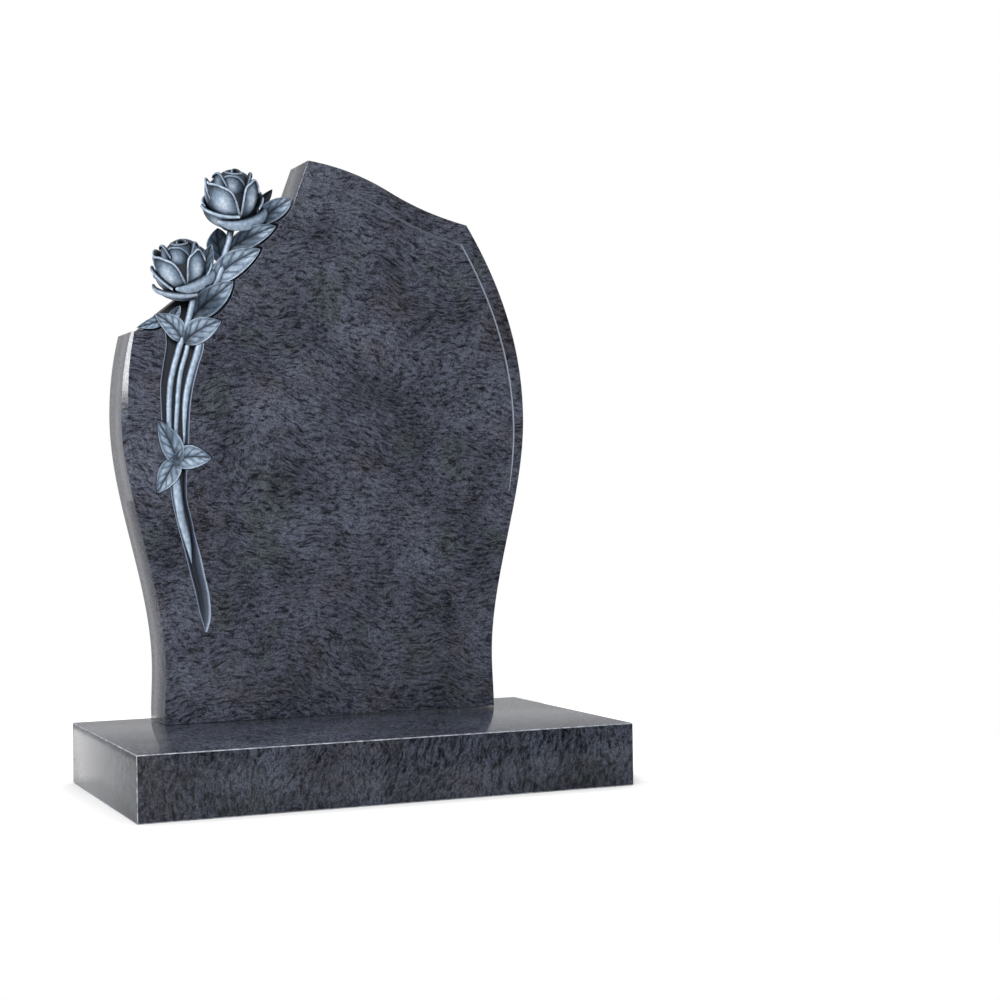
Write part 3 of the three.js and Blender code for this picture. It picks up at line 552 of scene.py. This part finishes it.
def add_rose(rose):
    """The petals, each a curved sheet, around a solid heart."""
    for petal in BLOOM + rose["skirt"] + BEHIND:
        across, along = (18, 16) if petal.get("plain") else (34, 26)

        def side(s, t, out):
            """One side of the petal: the front where out is 1, the back where it is -1."""
            rim = np.minimum((1 - np.abs(s)) / 0.1, (1 - t) / 0.08)
            full = np.sqrt(np.clip(1 - (1 - np.clip(rim, 0, 1)) ** 2, 0.02, 1))
            thick = PETAL_THICK * mix(1, 0.7, t) * out * full
            points = petal_point(petal, rose["turn"], s, t)
            return rose_place(rose, points + petal_normal(petal, rose["turn"], s, t) * thick[:, None] / 2)

        places, faces, s, t = sheet(lambda s, t: side(s, t, 1), lambda s, t: side(s, t, -1), across, along)
        painted_shading = petal_shading(petal, s, t)
        half = len(s) // 2
        # Painted shade on the back of each petal, lightening only towards the rim.
        painted_shading[half:] *= mix(0.35, 1, smooth((t[half:] - 0.75) / 0.15))
        shell(places, faces, CARVED, painted_shading, s, t, PETAL)
    profile = [
        (0.001, 0.06), (0.16, 0.06), (0.34, 0.2), (0.38, 0.42), (0.28, 0.66), (0.16, 0.84), (0.001, 0.9),
    ]
    turn = np.linspace(0, 2 * np.pi, 24, endpoint=False)
    rings = []
    for out, up in spline(profile, 19):
        ring = np.column_stack([out * np.cos(turn), out * np.sin(turn), np.full(24, up)])
        rings.append(rose_place(rose, ring))
    places, faces = prism(rings)
    # The heart is painted dark, as painted shade deep in the rose.
    shell(places, faces, CARVED, 0.12, kind=PETAL)


# Cuts in the polished block


def chamfer_rings():
    rings = []
    out = 12.0
    for up in np.linspace(CHAMFER_FROM, LEFT_SHOULDER_UP + 8, 40):
        if up < CHAMFER_FULL:
            wide = CHAMFER_WIDE * float(smooth((up - CHAMFER_FROM) / (CHAMFER_FULL - CHAMFER_FROM)))
        else:
            share = (up - CHAMFER_FULL) / (LEFT_SHOULDER_UP - CHAMFER_FULL)
            wide = mix(CHAMFER_WIDE, CHAMFER_AT_SHOULDER, share)
        wide = max(wide, 0.05)
        edge = -float(half_width(up))
        before = -out * CHAMFER_SLOPE
        behind = (wide + out) * CHAMFER_SLOPE
        rings.append([(edge + wide + out, before, up), (edge - out, before, up), (edge - out, behind, up)])
    return rings


LINE_CORNER_UP = float(top_up(SHOULDER_HALF)) - LINE_BELOW_TOP + 3


def line_rings():
    """The two runs of the fine line, each a groove of three sides that tapers off at its free end."""
    corner_up = LINE_CORNER_UP

    def margin(up):
        return mix(LINE_AT_END, LINE_AT_SHOULDER, (up - LINE_END_UP) / (SHOULDER_UP - LINE_END_UP))

    corner = float(half_width(corner_up)) - margin(corner_up)
    across = np.linspace(4, corner, 30)
    top = np.column_stack([across, top_up(across) - LINE_BELOW_TOP])
    top[-1, 1] = corner_up
    up = np.linspace(corner_up, LINE_END_UP, 44)
    side = np.column_stack([half_width(up) - margin(up), up])
    strips = []
    for path, starts_free in ((top, True), (side, False)):
        run = np.gradient(path, axis=0)
        run /= np.linalg.norm(run, axis=1)[:, None]
        rings = []
        for i, (u, w) in enumerate(path):
            from_end = i if starts_free else len(path) - 1 - i
            share = mix(0.25, 1, float(smooth(from_end / 8)))
            half, deep = LINE_HALF * share, LINE_DEEP * share
            nu, nw = -run[i, 1] * half, run[i, 0] * half
            rings.append([(u - 2 * nu, -deep, w - 2 * nw), (u + 2 * nu, -deep, w + 2 * nw), (u, deep, w)])
        strips.append(rings)
    return strips


# The ground that is cut back behind the flowers, across and down from the peak
FIELD = [
    (-62, 57.5), (-84, 89.5), (-106, 119.5), (-138, 157.5), (-152, 189.5), (-164, 213.5), (-178, 225.5),
    (-204, 229.5), (-213, 215.5), (-236, 207.5), (-300, 237.5), (-300, 9.5), (-80, 9.5), (-62, 45.5),
]


# Materials


class Nodes:
    """Adds nodes to a material and links them as they are made."""

    def __init__(self, name):
        self.material = bpy.data.materials.new(name)
        self.material.use_nodes = True
        self.tree = self.material.node_tree
        self.shader = self.tree.nodes["Principled BSDF"]

    def put(self, kind, inputs=None, **settings):
        node = self.tree.nodes.new(kind)
        for key, value in settings.items():
            setattr(node, key, value)
        for key, value in (inputs or {}).items():
            self.set(node.inputs[key], value)
        return node

    def set(self, socket, value):
        if isinstance(value, bpy.types.NodeSocket):
            self.tree.links.new(value, socket)
        else:
            socket.default_value = value

    def math(self, operation, a, b=0.0, clamp=False):
        return self.put("ShaderNodeMath", {0: a, 1: b}, operation=operation, use_clamp=clamp).outputs[0]

    def vector(self, operation, a, b=(0, 0, 0)):
        return self.put("ShaderNodeVectorMath", {0: a, 1: b}, operation=operation).outputs[0]

    def ramp(self, value, stops):
        """A colour by value. A stop's colour is a grey where it is one number."""
        node = self.put("ShaderNodeValToRGB", {0: value})
        ramp = node.color_ramp
        while len(ramp.elements) < len(stops):
            ramp.elements.new(0.5)
        for element, (at, colour) in zip(ramp.elements, stops):
            element.position = at
            element.color = (*colour, 1) if isinstance(colour, tuple) else (colour, colour, colour, 1)
        return node.outputs[0]

    def blend(self, factor, a, b, mode="MIX"):
        node = self.put("ShaderNodeMix", data_type="RGBA", blend_type=mode)
        self.set(node.inputs[0], factor)
        self.set(node.inputs[6], a)
        self.set(node.inputs[7], b)
        return node.outputs[2]

    def noise(self, vector, scale, detail=3.0, rough=0.55, distort=0.0):
        node = self.put("ShaderNodeTexNoise", {"Vector": vector})
        self.set(node.inputs["Scale"], scale)
        self.set(node.inputs["Detail"], detail)
        self.set(node.inputs["Roughness"], rough)
        self.set(node.inputs["Distortion"], distort)
        return node.outputs[0]

    def attribute(self, name):
        return self.put("ShaderNodeAttribute", attribute_name=name).outputs["Fac"]


def rgb(r, g, b):
    """Linear colour of an sRGB one given from 0 to 255."""
    return tuple(((c / 255 + 0.055) / 1.055) ** 2.4 if c > 10 else c / 3294.6 for c in (r, g, b))


GROUND_DARK, GROUND, GROUND_LIGHT = rgb(66, 69, 80), rgb(81, 85, 98), rgb(95, 100, 115)
WARM, GREENISH, BLACK = rgb(80, 72, 73), rgb(70, 78, 76), rgb(15, 16, 21)


def granite(name, finish, turned=False, painted_shade=(0.56, 0.57, 0.57)):
    """Blue-grey granite with dark streaks that flow across the tablet, and upright in the base."""
    n = Nodes(name)
    at = n.put("ShaderNodeTexCoord").outputs["Object"]
    turn = (0.15, math.radians(78), 0.1) if turned else (0.1, math.radians(-7), 0.05)
    lean = n.put("ShaderNodeMapping", {"Vector": at, "Rotation": turn}).outputs[0]
    wander = n.put("ShaderNodeTexNoise", {"Vector": lean, "Scale": 5.0, "Detail": 3.0}).outputs["Color"]
    shift = n.vector("SUBTRACT", wander, (0.5, 0.5, 0.5))
    shift = n.put("ShaderNodeVectorMath", {0: shift, "Scale": 0.105}, operation="SCALE").outputs[0]
    bent = n.vector("ADD", lean, shift)
    stretch = (0.8, 1.0, 1.9) if turned else (0.8, 1.2, 2.3)
    drawn = n.put("ShaderNodeMapping", {"Vector": bent, "Scale": stretch}).outputs[0]
    streak = n.noise(drawn, 122.0, 6.0, 0.7, 0.5)
    fleck = n.noise(bent, 420.0, 3.0, 0.7, 0.3)
    grain = n.noise(at, 620.0, 2.0, 0.6)
    patch = n.noise(bent, 10.0, 4.0, 0.6)
    hue = n.noise(bent, 14.0, 2.0, 0.5)
    ground = n.ramp(patch, [(0.3, GROUND_DARK), (0.5, GROUND), (0.72, GROUND_LIGHT)])
    ground = n.blend(n.ramp(hue, [(0.54, 0), (0.7, 0.4)]), ground, (*WARM, 1))
    ground = n.blend(n.ramp(hue, [(0.28, 0.6), (0.42, 0)]), ground, (*GREENISH, 1))
    crowd = n.math("MULTIPLY", n.math("SUBTRACT", patch, 0.5), 0.15)
    dark = n.ramp(n.math("ADD", streak, crowd), [(0.38, 1), (0.568, 0)])
    ground = n.blend(n.math("MULTIPLY", dark, 0.97), ground, (*BLACK, 1))
    dots = n.ramp(fleck, [(0.38, 1), (0.55, 0)])
    ground = n.blend(n.math("MULTIPLY", dots, 0.6), ground, (*BLACK, 1))
    light = n.ramp(grain, [(0.35, 0.78), (0.68, 1.34)])
    colour = n.blend(1.0, ground, light, "MULTIPLY")
    # Painted shade: the base's copies are darkened, its polished top less than its other faces.
    if turned:
        colour = n.blend(1.0, colour, (*painted_shade, 1), "MULTIPLY")
    n.set(n.shader.inputs["Base Color"], colour)
    pits = n.ramp(grain, [(0.42, 1), (0.56, 0)])
    if finish == "polished":
        rough = n.math("ADD", n.math("MULTIPLY", pits, 0.14), 0.07)
        n.set(n.shader.inputs["Roughness"], rough)
        n.set(n.shader.inputs["IOR"], 1.22 if turned else 1.43)
        bump = n.put("ShaderNodeBump", {"Height": grain, "Strength": 0.04, "Distance": 0.0004})
    elif finish == "eased":
        n.set(n.shader.inputs["Roughness"], 0.17)
        n.set(n.shader.inputs["IOR"], 1.5)
        bump = n.put("ShaderNodeBump", {"Height": grain, "Strength": 0.02, "Distance": 0.0002})
    else:
        rough, spread, strength = (0.38, 0.12, 0.12) if finish == "honed" else (0.62, 0.2, 0.35)
        n.set(n.shader.inputs["Roughness"], n.math("ADD", n.math("MULTIPLY", pits, spread), rough))
        n.set(n.shader.inputs["IOR"], 1.45)
        bump = n.put("ShaderNodeBump", {"Height": grain, "Strength": strength, "Distance": 0.0006})
    n.set(n.shader.inputs["Normal"], bump.outputs[0])
    return n.material


# Colours of the carved stone by its painted light and shade: nearly black for the deepest painted shade, pale
# silver-blue for the brightest painted light.
STONE_RAMP = [
    (0.0, rgb(8, 12, 18)), (0.18, rgb(24, 34, 47)), (0.4, rgb(72, 87, 104)), (0.62, rgb(120, 137, 156)),
    (0.85, rgb(166, 181, 198)), (1.0, rgb(202, 212, 224)),
]


def carved_stone(name):
    """Blasted stone, pale silver-blue where it stands out; its painted light and shade make it nearly black
    in the grooves.
    """
    n = Nodes(name)
    at = n.put("ShaderNodeTexCoord").outputs["Object"]
    painted_shading = n.attribute("painted_shading")
    s, t, kind = n.attribute("leaf_s"), n.attribute("leaf_t"), n.attribute("kind")
    wide = n.math("ABSOLUTE", s)
    run = n.math("MULTIPLY", n.math("SUBTRACT", t, n.math("MULTIPLY", wide, VEIN_SLANT)), VEINS)
    run = n.math("ADD", run, n.math("MULTIPLY", n.math("GREATER_THAN", s, 0.0), VEIN_STEP))
    run = n.math("ADD", run, n.math("MULTIPLY", n.math("SUBTRACT", n.noise(at, 45.0, 2.0, 0.5), 0.5), 1.5))
    away = n.math("PINGPONG", run, 0.5)
    fine = n.ramp(away, [(0.0, 1), (0.09, 0)])
    fine = n.math("MULTIPLY", fine, n.ramp(wide, [(0.04, 0), (0.12, 1), (0.7, 0.7), (0.86, 0)]))
    rib = n.ramp(wide, [(0.02, 1), (0.07, 0)])
    # The dark lines along a leaf's veins and midrib are painted shade in those grooves; they also sink the
    # bump.
    lines = n.math("MAXIMUM", n.math("MULTIPLY", fine, 0.3), n.math("MULTIPLY", rib, 0.65))
    is_leaf = n.put("ShaderNodeMath", {0: kind, 1: LEAF, 2: 0.3}, operation="COMPARE").outputs[0]
    lines = n.math("MULTIPLY", lines, is_leaf)
    grain = n.noise(at, 900.0, 2.0, 0.6)
    brush = n.noise(at, 210.0, 3.0, 0.55)
    vary = n.math("MULTIPLY", n.math("SUBTRACT", brush, 0.5), 0.6)
    value = n.math("ADD", painted_shading, n.math("MULTIPLY", vary, n.math("ADD", painted_shading, 0.15)))
    value = n.math("MULTIPLY", value, n.math("SUBTRACT", 1.0, lines), clamp=True)
    colour = n.ramp(value, STONE_RAMP)
    colour = n.blend(1.0, colour, n.ramp(grain, [(0.3, 0.86), (0.7, 1.12)]), "MULTIPLY")
    n.set(n.shader.inputs["Base Color"], colour)
    n.set(n.shader.inputs["Roughness"], 0.55)
    n.set(n.shader.inputs["IOR"], 1.45)
    height = n.math("SUBTRACT", n.math("MULTIPLY", grain, 0.3), n.math("MULTIPLY", lines, 1.0))
    bump = n.put("ShaderNodeBump", {"Height": height, "Strength": 0.35, "Distance": 0.0006})
    n.set(n.shader.inputs["Normal"], bump.outputs[0])
    return n.material


def recess_stone(name, stops, faint_above=None):
    """Blasted ground of the carving, with painted shade: darker the deeper it lies behind the face, and
    fainter above a height.
    """
    n = Nodes(name)
    at = n.put("ShaderNodeTexCoord").outputs["Object"]
    parts = n.put("ShaderNodeSeparateXYZ", {0: at}).outputs
    share = n.math("DIVIDE", n.math("SUBTRACT", parts["Y"], FACE / 1000), FIELD_DEEP / 1000, clamp=True)
    grain = n.noise(at, 500.0, 3.0, 0.6)
    share = n.math("ADD", share, n.math("MULTIPLY", n.math("SUBTRACT", grain, 0.5), 0.04), clamp=True)
    colour = n.ramp(share, stops)
    # Painted shade: above this height the groove is blended toward the ground colour, which dims the line's
    # top run.
    if faint_above:
        above = n.math("GREATER_THAN", parts["Z"], faint_above)
        colour = n.blend(n.math("MULTIPLY", above, 0.62), colour, (*GROUND, 1))
    n.set(n.shader.inputs["Base Color"], colour)
    n.set(n.shader.inputs["Roughness"], 0.6)
    bump = n.put("ShaderNodeBump", {"Height": grain, "Strength": 0.4, "Distance": 0.0006})
    n.set(n.shader.inputs["Normal"], bump.outputs[0])
    return n.material


# Colours by depth behind the face: pale blasted stone at the face, then painted shade that darkens with
# depth.
RECESS_RAMP = [
    (0.0, rgb(146, 157, 176)), (0.018, rgb(122, 134, 154)), (0.045, rgb(54, 64, 82)), (0.14, rgb(24, 30, 42)),
    (0.6, rgb(9, 12, 18)),
]
CUT_RAMP = [(0.0, rgb(152, 160, 174)), (0.08, rgb(106, 114, 128))]

materials = [
    granite("granite_polished", "polished"),
    granite("granite_honed", "honed"),
    granite("granite_sawn", "sawn"),
    carved_stone("granite_carved"),
    recess_stone("granite_recess", RECESS_RAMP),
    recess_stone("granite_cut", CUT_RAMP, (FOOT + LINE_CORNER_UP) / 1000),
    granite("granite_eased", "eased"),
]


# The tablet


def build_block():
    """The tablet with rounded arrises and all its cuts, before the carved shells join it."""
    ring = outline()
    inner = inset(ring, ARRIS)
    rings = [
        [(u, 0, w) for u, w in inner],
        [(u, ARRIS * 0.3, w) for u, w in mix(inner, ring, 0.7)],
        [(u, ARRIS, w) for u, w in ring],
        [(u, THICK - ARRIS, w) for u, w in ring],
        [(u, THICK - ARRIS * 0.3, w) for u, w in mix(inner, ring, 0.7)],
        [(u, THICK, w) for u, w in inner],
    ]
    places, faces = prism(rings)
    block = outward(new_object("tablet_stone", place(places), faces))
    for face in block.data.polygons:
        if face.normal.y > 0.9:
            face.material_index = HONED
        elif face.normal.z < -0.9:
            face.material_index = SAWN
        # The diagonal edge behind the flowers takes the recess colour: painted shade that makes it dark.
        elif face.normal.x < -0.3 and face.normal.z > 0.4:
            face.material_index = RECESS
    for material in materials:
        block.data.materials.append(material)
    cutters = [slab("field", on_tablet(FIELD), -CLEAR, FIELD_DEEP, RECESS)]
    cutters.append(cutter("channel", channel_rings(), RECESS))
    cutters += [leaf_pocket(leaf, f"pocket_{i}") for i, leaf in enumerate(LEAVES)]
    cutters.append(cutter("chamfer", chamfer_rings(), EASED))
    cutters += [cutter(f"line_{i}", rings, CUT) for i, rings in enumerate(line_rings())]
    for one in cutters:
        for material in materials:
            one.data.materials.append(material)
        cut = block.modifiers.new(one.name, "BOOLEAN")
        cut.operation = "DIFFERENCE"
        cut.solver = "EXACT"
        cut.object = one
    graph = bpy.context.evaluated_depsgraph_get()
    mesh = bpy.data.meshes.new_from_object(block.evaluated_get(graph))
    block.modifiers.clear()
    block.data = mesh
    for one in cutters:
        bpy.data.objects.remove(one)
    return block


# How far the painted shade in a groove looks for stone, in metres, and along how many lines
SHADE_REACH = 0.016
SHADE_RAYS = 14


def directions(count):
    """Directions over a half sphere about +Z, denser towards it."""
    i = np.arange(count) + 0.5
    out = np.sqrt(i / count) * 0.97
    turn = i * math.pi * (3 - math.sqrt(5))
    return np.column_stack([out * np.cos(turn), out * np.sin(turn), np.sqrt(1 - out**2)])


def openness(tree, places, normals, reach, count):
    """How open each point is, from 0 deep in a groove to 1 in the clear."""
    rays = directions(count)
    helper = np.where(np.abs(normals[:, :1]) > 0.9, [[0.0, 1.0, 0.0]], [[1.0, 0.0, 0.0]])
    one = np.cross(normals, helper)
    one /= np.maximum(np.linalg.norm(one, axis=1), 1e-9)[:, None]
    two = np.cross(normals, one)
    start = places + normals * 0.0004
    free = np.zeros(len(places))
    cast = tree.ray_cast
    for x, y, z in rays:
        run = one * x + two * y + normals * z
        for i in range(len(places)):
            far = cast(start[i], run[i], reach)[3]
            free[i] += 1.0 if far is None else far / reach
    return free / count


def build_tablet():
    """The block and its carved shells in one mesh, with the carving's painted light and shade at each vertex.
    """
    block = build_block()
    for leaf in LEAVES:
        add_leaf(leaf)
    for line, deep, rise in FACE_STEMS + FIELD_STEMS:
        add_stem(line, deep, rise)
    for rose in ROSES:
        add_rose(rose)
    places, faces, slots, columns, offset = [], [], [], [[], [], [], []], 0
    for p, f, slot, *values in made_shells:
        places.append(p)
        faces += [tuple(v + offset for v in face) for face in f]
        slots += [slot] * len(f)
        for column, value in zip(columns, values):
            column.append(value)
        offset += len(p)
    places = np.vstack(places)
    mesh = bpy.data.meshes.new("carving")
    mesh.from_pydata([tuple(p) for p in places], [], faces)
    carving = bpy.data.objects.new("carving", mesh)
    bpy.context.scene.collection.objects.link(carving)
    mesh.polygons.foreach_set("material_index", np.array(slots, np.int32))
    for material in materials:
        mesh.materials.append(material)
    painted_shading, s, t, kind = (np.concatenate(c) for c in columns)

    mesh.update()
    normals = np.zeros(len(places) * 3)
    mesh.vertices.foreach_get("normal", normals)
    normals = normals.reshape(-1, 3)
    block_at = [v.co[:] for v in block.data.vertices]
    block_faces = [tuple(p.vertices) for p in block.data.polygons]
    count = len(block_at)
    tree = BVHTree.FromPolygons(block_at + [tuple(p) for p in places],
                                block_faces + [tuple(v + count for v in f) for f in faces])
    # Painted shade: the carving is darkened where short rays from each vertex meet stone, in grooves, pockets
    # and under petals; leaves darken less.
    free = openness(tree, places, normals, SHADE_REACH, SHADE_RAYS)
    shade = smooth((free - 0.08) / 0.62)
    depth_of_shade = np.where(kind == LEAF, 0.5, 0.12)
    painted_shading = np.clip(painted_shading, 0, 1.1) * mix(depth_of_shade, 1.0, shade)
    for name, value in (("painted_shading", painted_shading), ("leaf_s", s), ("leaf_t", t), ("kind", kind)):
        mesh.attributes.new(name, "FLOAT", "POINT").data.foreach_set("value", value.astype(np.float32))

    mesh.polygons.foreach_set("use_smooth", np.ones(len(mesh.polygons), bool))
    block.data.polygons.foreach_set("use_smooth", np.ones(len(block.data.polygons), bool))
    block.data.set_sharp_from_angle(angle=math.radians(24))
    mesh.set_sharp_from_angle(angle=math.radians(60))
    for one in bpy.context.selected_objects:
        one.select_set(False)
    carving.select_set(True)
    block.select_set(True)
    bpy.context.view_layer.objects.active = block
    bpy.ops.object.join()
    return block


tablet = build_tablet()
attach(tablet, "root")
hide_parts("tablet")

# The base


def build_base():
    """A block with rounded arrises, polished but for its back and its underside."""
    low, high = base_low, base_high
    steps = 5
    radius = 0.002
    turn = np.linspace(0, np.pi / 2, steps)
    ring = []
    left, right = low.x + radius, high.x - radius
    under, top = low.z + radius, high.z - radius
    for quarter, (cx, cz) in enumerate(((right, top), (left, top), (left, under), (right, under))):
        ring += [(cx, cz, a) for a in turn + quarter * np.pi / 2]
    rings = []
    for k, b in enumerate(np.concatenate([turn, turn + np.pi / 2])):
        r = radius * math.sin(b) if 0 < k < 2 * steps - 1 else 0.0
        y = low.y + radius - radius * math.cos(b) if k < steps else high.y - radius - radius * math.cos(b)
        rings.append([(cx + r * math.cos(a), y, cz + r * math.sin(a)) for cx, cz, a in ring])
    places, faces = prism(rings)
    made = outward(new_object("base_stone", places, faces))
    for face in made.data.polygons:
        face.use_smooth = True
        if max(abs(x) for x in face.normal) < 0.97:
            face.material_index = BASE_ARRIS
        elif face.normal.z > 0.9:
            face.material_index = BASE_TOP
        elif face.normal.z < -0.9:
            face.material_index = BASE_UNDER
        elif face.normal.y > 0.9:
            face.material_index = BASE_BACK
        else:
            face.material_index = BASE_SIDE
    made.data.set_sharp_from_angle(angle=math.radians(40))
    for name, finish in (("base_polished", "polished"), ("base_honed", "honed"), ("base_sawn", "sawn")):
        made.data.materials.append(granite(name, finish, turned=True))
    # Painted highlight: the rounded arrises get a pale, patchy colour that stands in for the light they
    # catch.
    arris = Nodes("base_arris_highlight")
    at = arris.put("ShaderNodeTexCoord").outputs["Object"]
    patchy_highlight = arris.noise(at, 120.0, 3.0, 0.6)
    pale = arris.ramp(patchy_highlight, [(0.35, rgb(84, 88, 98)), (0.65, rgb(150, 154, 163))])
    arris.set(arris.shader.inputs["Base Color"], pale)
    arris.set(arris.shader.inputs["Roughness"], 0.45)
    made.data.materials.append(arris.material)
    # A lighter copy of the base granite for the top: less painted shade than the sides.
    made.data.materials.append(granite("base_top_painted_light", "polished", turned=True, painted_shade=(0.88, 0.9, 0.9)))
    return made


base = build_base()
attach(base, "root")
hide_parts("base")

# Floor, light and camera

FLOOR_RADIUS = 0.95


def build_floor():
    """A pale disc that melts into the white behind it: it glows a little, and more away from the base, which
    leaves a painted contact shadow next to the base.
    """
    turns = np.linspace(0, 2 * math.pi, 96, endpoint=False)
    rim = [(FLOOR_RADIUS * math.cos(a), FLOOR_RADIUS * math.sin(a), 0) for a in turns]
    made = new_object("floor", rim, [tuple(range(len(rim)))])
    pale = Nodes("floor_pale")
    pale.set(pale.shader.inputs["Base Color"], (0.7, 0.7, 0.7, 1))
    pale.set(pale.shader.inputs["Roughness"], 0.9)
    pale.set(pale.shader.inputs["Specular IOR Level"], 0.1)
    pale.set(pale.shader.inputs["Emission Color"], (1, 1, 1, 1))
    folded = pale.vector("ABSOLUTE", pale.put("ShaderNodeTexCoord").outputs["Object"])
    beyond = pale.vector("MAXIMUM", pale.vector("SUBTRACT", folded, (base_high.x, base_high.y, 0)))
    away = pale.put("ShaderNodeVectorMath", {0: beyond}, operation="LENGTH").outputs["Value"]
    # Painted light and shadow: the glow is nil at the base and grows away from it.
    glow = pale.ramp(away, [(0, 0), (0.02, 0.05), (0.05, 0.26), (0.6, 0.5)])
    pale.set(pale.shader.inputs["Emission Strength"], glow)
    made.data.materials.append(pale.material)
    return made


floor = build_floor()


def studio():
    """White behind the object. What lights it is brightest overhead, softer behind and dim in front."""
    world = bpy.context.scene.world or bpy.data.worlds.new("studio")
    bpy.context.scene.world = world
    world.use_nodes = True
    tree = world.node_tree
    shown = tree.nodes["Background"]
    shown.inputs["Color"].default_value = (1, 1, 1, 1)
    lit = tree.nodes.new("ShaderNodeBackground")
    at = tree.nodes.new("ShaderNodeTexCoord")
    split = tree.nodes.new("ShaderNodeSeparateXYZ")
    tree.links.new(at.outputs["Generated"], split.inputs[0])

    def ramp(value, stops):
        node = tree.nodes.new("ShaderNodeValToRGB")
        for element, (where, grey) in zip(node.color_ramp.elements, stops):
            element.position = where
            element.color = (grey, grey, grey * 1.01, 1)
        tree.links.new(value, node.inputs[0])
        return node.outputs[0]

    half = tree.nodes.new("ShaderNodeMath")
    half.operation = "MULTIPLY_ADD"
    half.inputs[1].default_value = 0.5
    half.inputs[2].default_value = 0.5
    tree.links.new(split.outputs["Y"], half.inputs[0])
    around = ramp(half.outputs[0], [(0.36, 0.14), (0.56, 0.6)])
    above = ramp(split.outputs["Z"], [(0.42, 0.0), (0.72, 1.0)])
    both = tree.nodes.new("ShaderNodeMix")
    both.data_type = "RGBA"
    both.blend_type = "ADD"
    both.inputs[0].default_value = 1.0
    tree.links.new(around, both.inputs[6])
    tree.links.new(above, both.inputs[7])
    tree.links.new(both.outputs[2], lit.inputs["Color"])
    seen = tree.nodes.new("ShaderNodeLightPath")
    pick = tree.nodes.new("ShaderNodeMixShader")
    tree.links.new(seen.outputs["Is Camera Ray"], pick.inputs[0])
    tree.links.new(lit.outputs[0], pick.inputs[1])
    tree.links.new(shown.outputs[0], pick.inputs[2])
    tree.links.new(pick.outputs[0], tree.nodes["World Output"].inputs[0])


def softbox(name, at, aim, size, power):
    data = bpy.data.lights.new(name, "AREA")
    data.shape = "RECTANGLE"
    data.size, data.size_y = size
    data.energy = power
    made = bpy.data.objects.new(name, data)
    made.location = at
    made.rotation_euler = (Vector(aim) - Vector(at)).to_track_quat("-Z", "Y").to_euler()
    bpy.context.scene.collection.objects.link(made)


studio()
softbox("key", (-0.9, -2.4, 2.1), (0.05, 0.1, 0.55), (1.4, 1.4), 86)
softbox("side", (-3.23, -1.31, 1.3), (-0.25, 0.1, 0.5), (0.55, 1.1), 40)

# Camera at the photograph's place. Its place and turns were solved from the corners of the base.
CAMERA_AT = (-0.780164, -2.279559, 0.352109)
YAW, PITCH, ROLL = -0.40956384, -0.00121162, -0.01333058
cy, sy, cp, sp = math.cos(YAW), math.sin(YAW), math.cos(PITCH), math.sin(PITCH)
cr, sr = math.cos(ROLL), math.sin(ROLL)
flat_right = Vector((cy, sy, 0))
ahead = Vector((-sy * cp, cy * cp, sp))
flat_up = flat_right.cross(ahead)
right = cr * flat_right + sr * flat_up
upward = -sr * flat_right + cr * flat_up
camera_data = bpy.data.cameras.new("camera")
camera_data.sensor_width = 36
camera_data.lens = 69.808
camera_data.clip_start = 0.01
camera_data.clip_end = 100
camera = bpy.data.objects.new("camera", camera_data)
bpy.context.scene.collection.objects.link(camera)
turned = Matrix((right, upward, -ahead)).transposed().to_4x4()
camera.matrix_world = Matrix.Translation(CAMERA_AT) @ turned
bpy.context.scene.camera = camera
bpy.context.scene.view_settings.view_transform = "Standard"
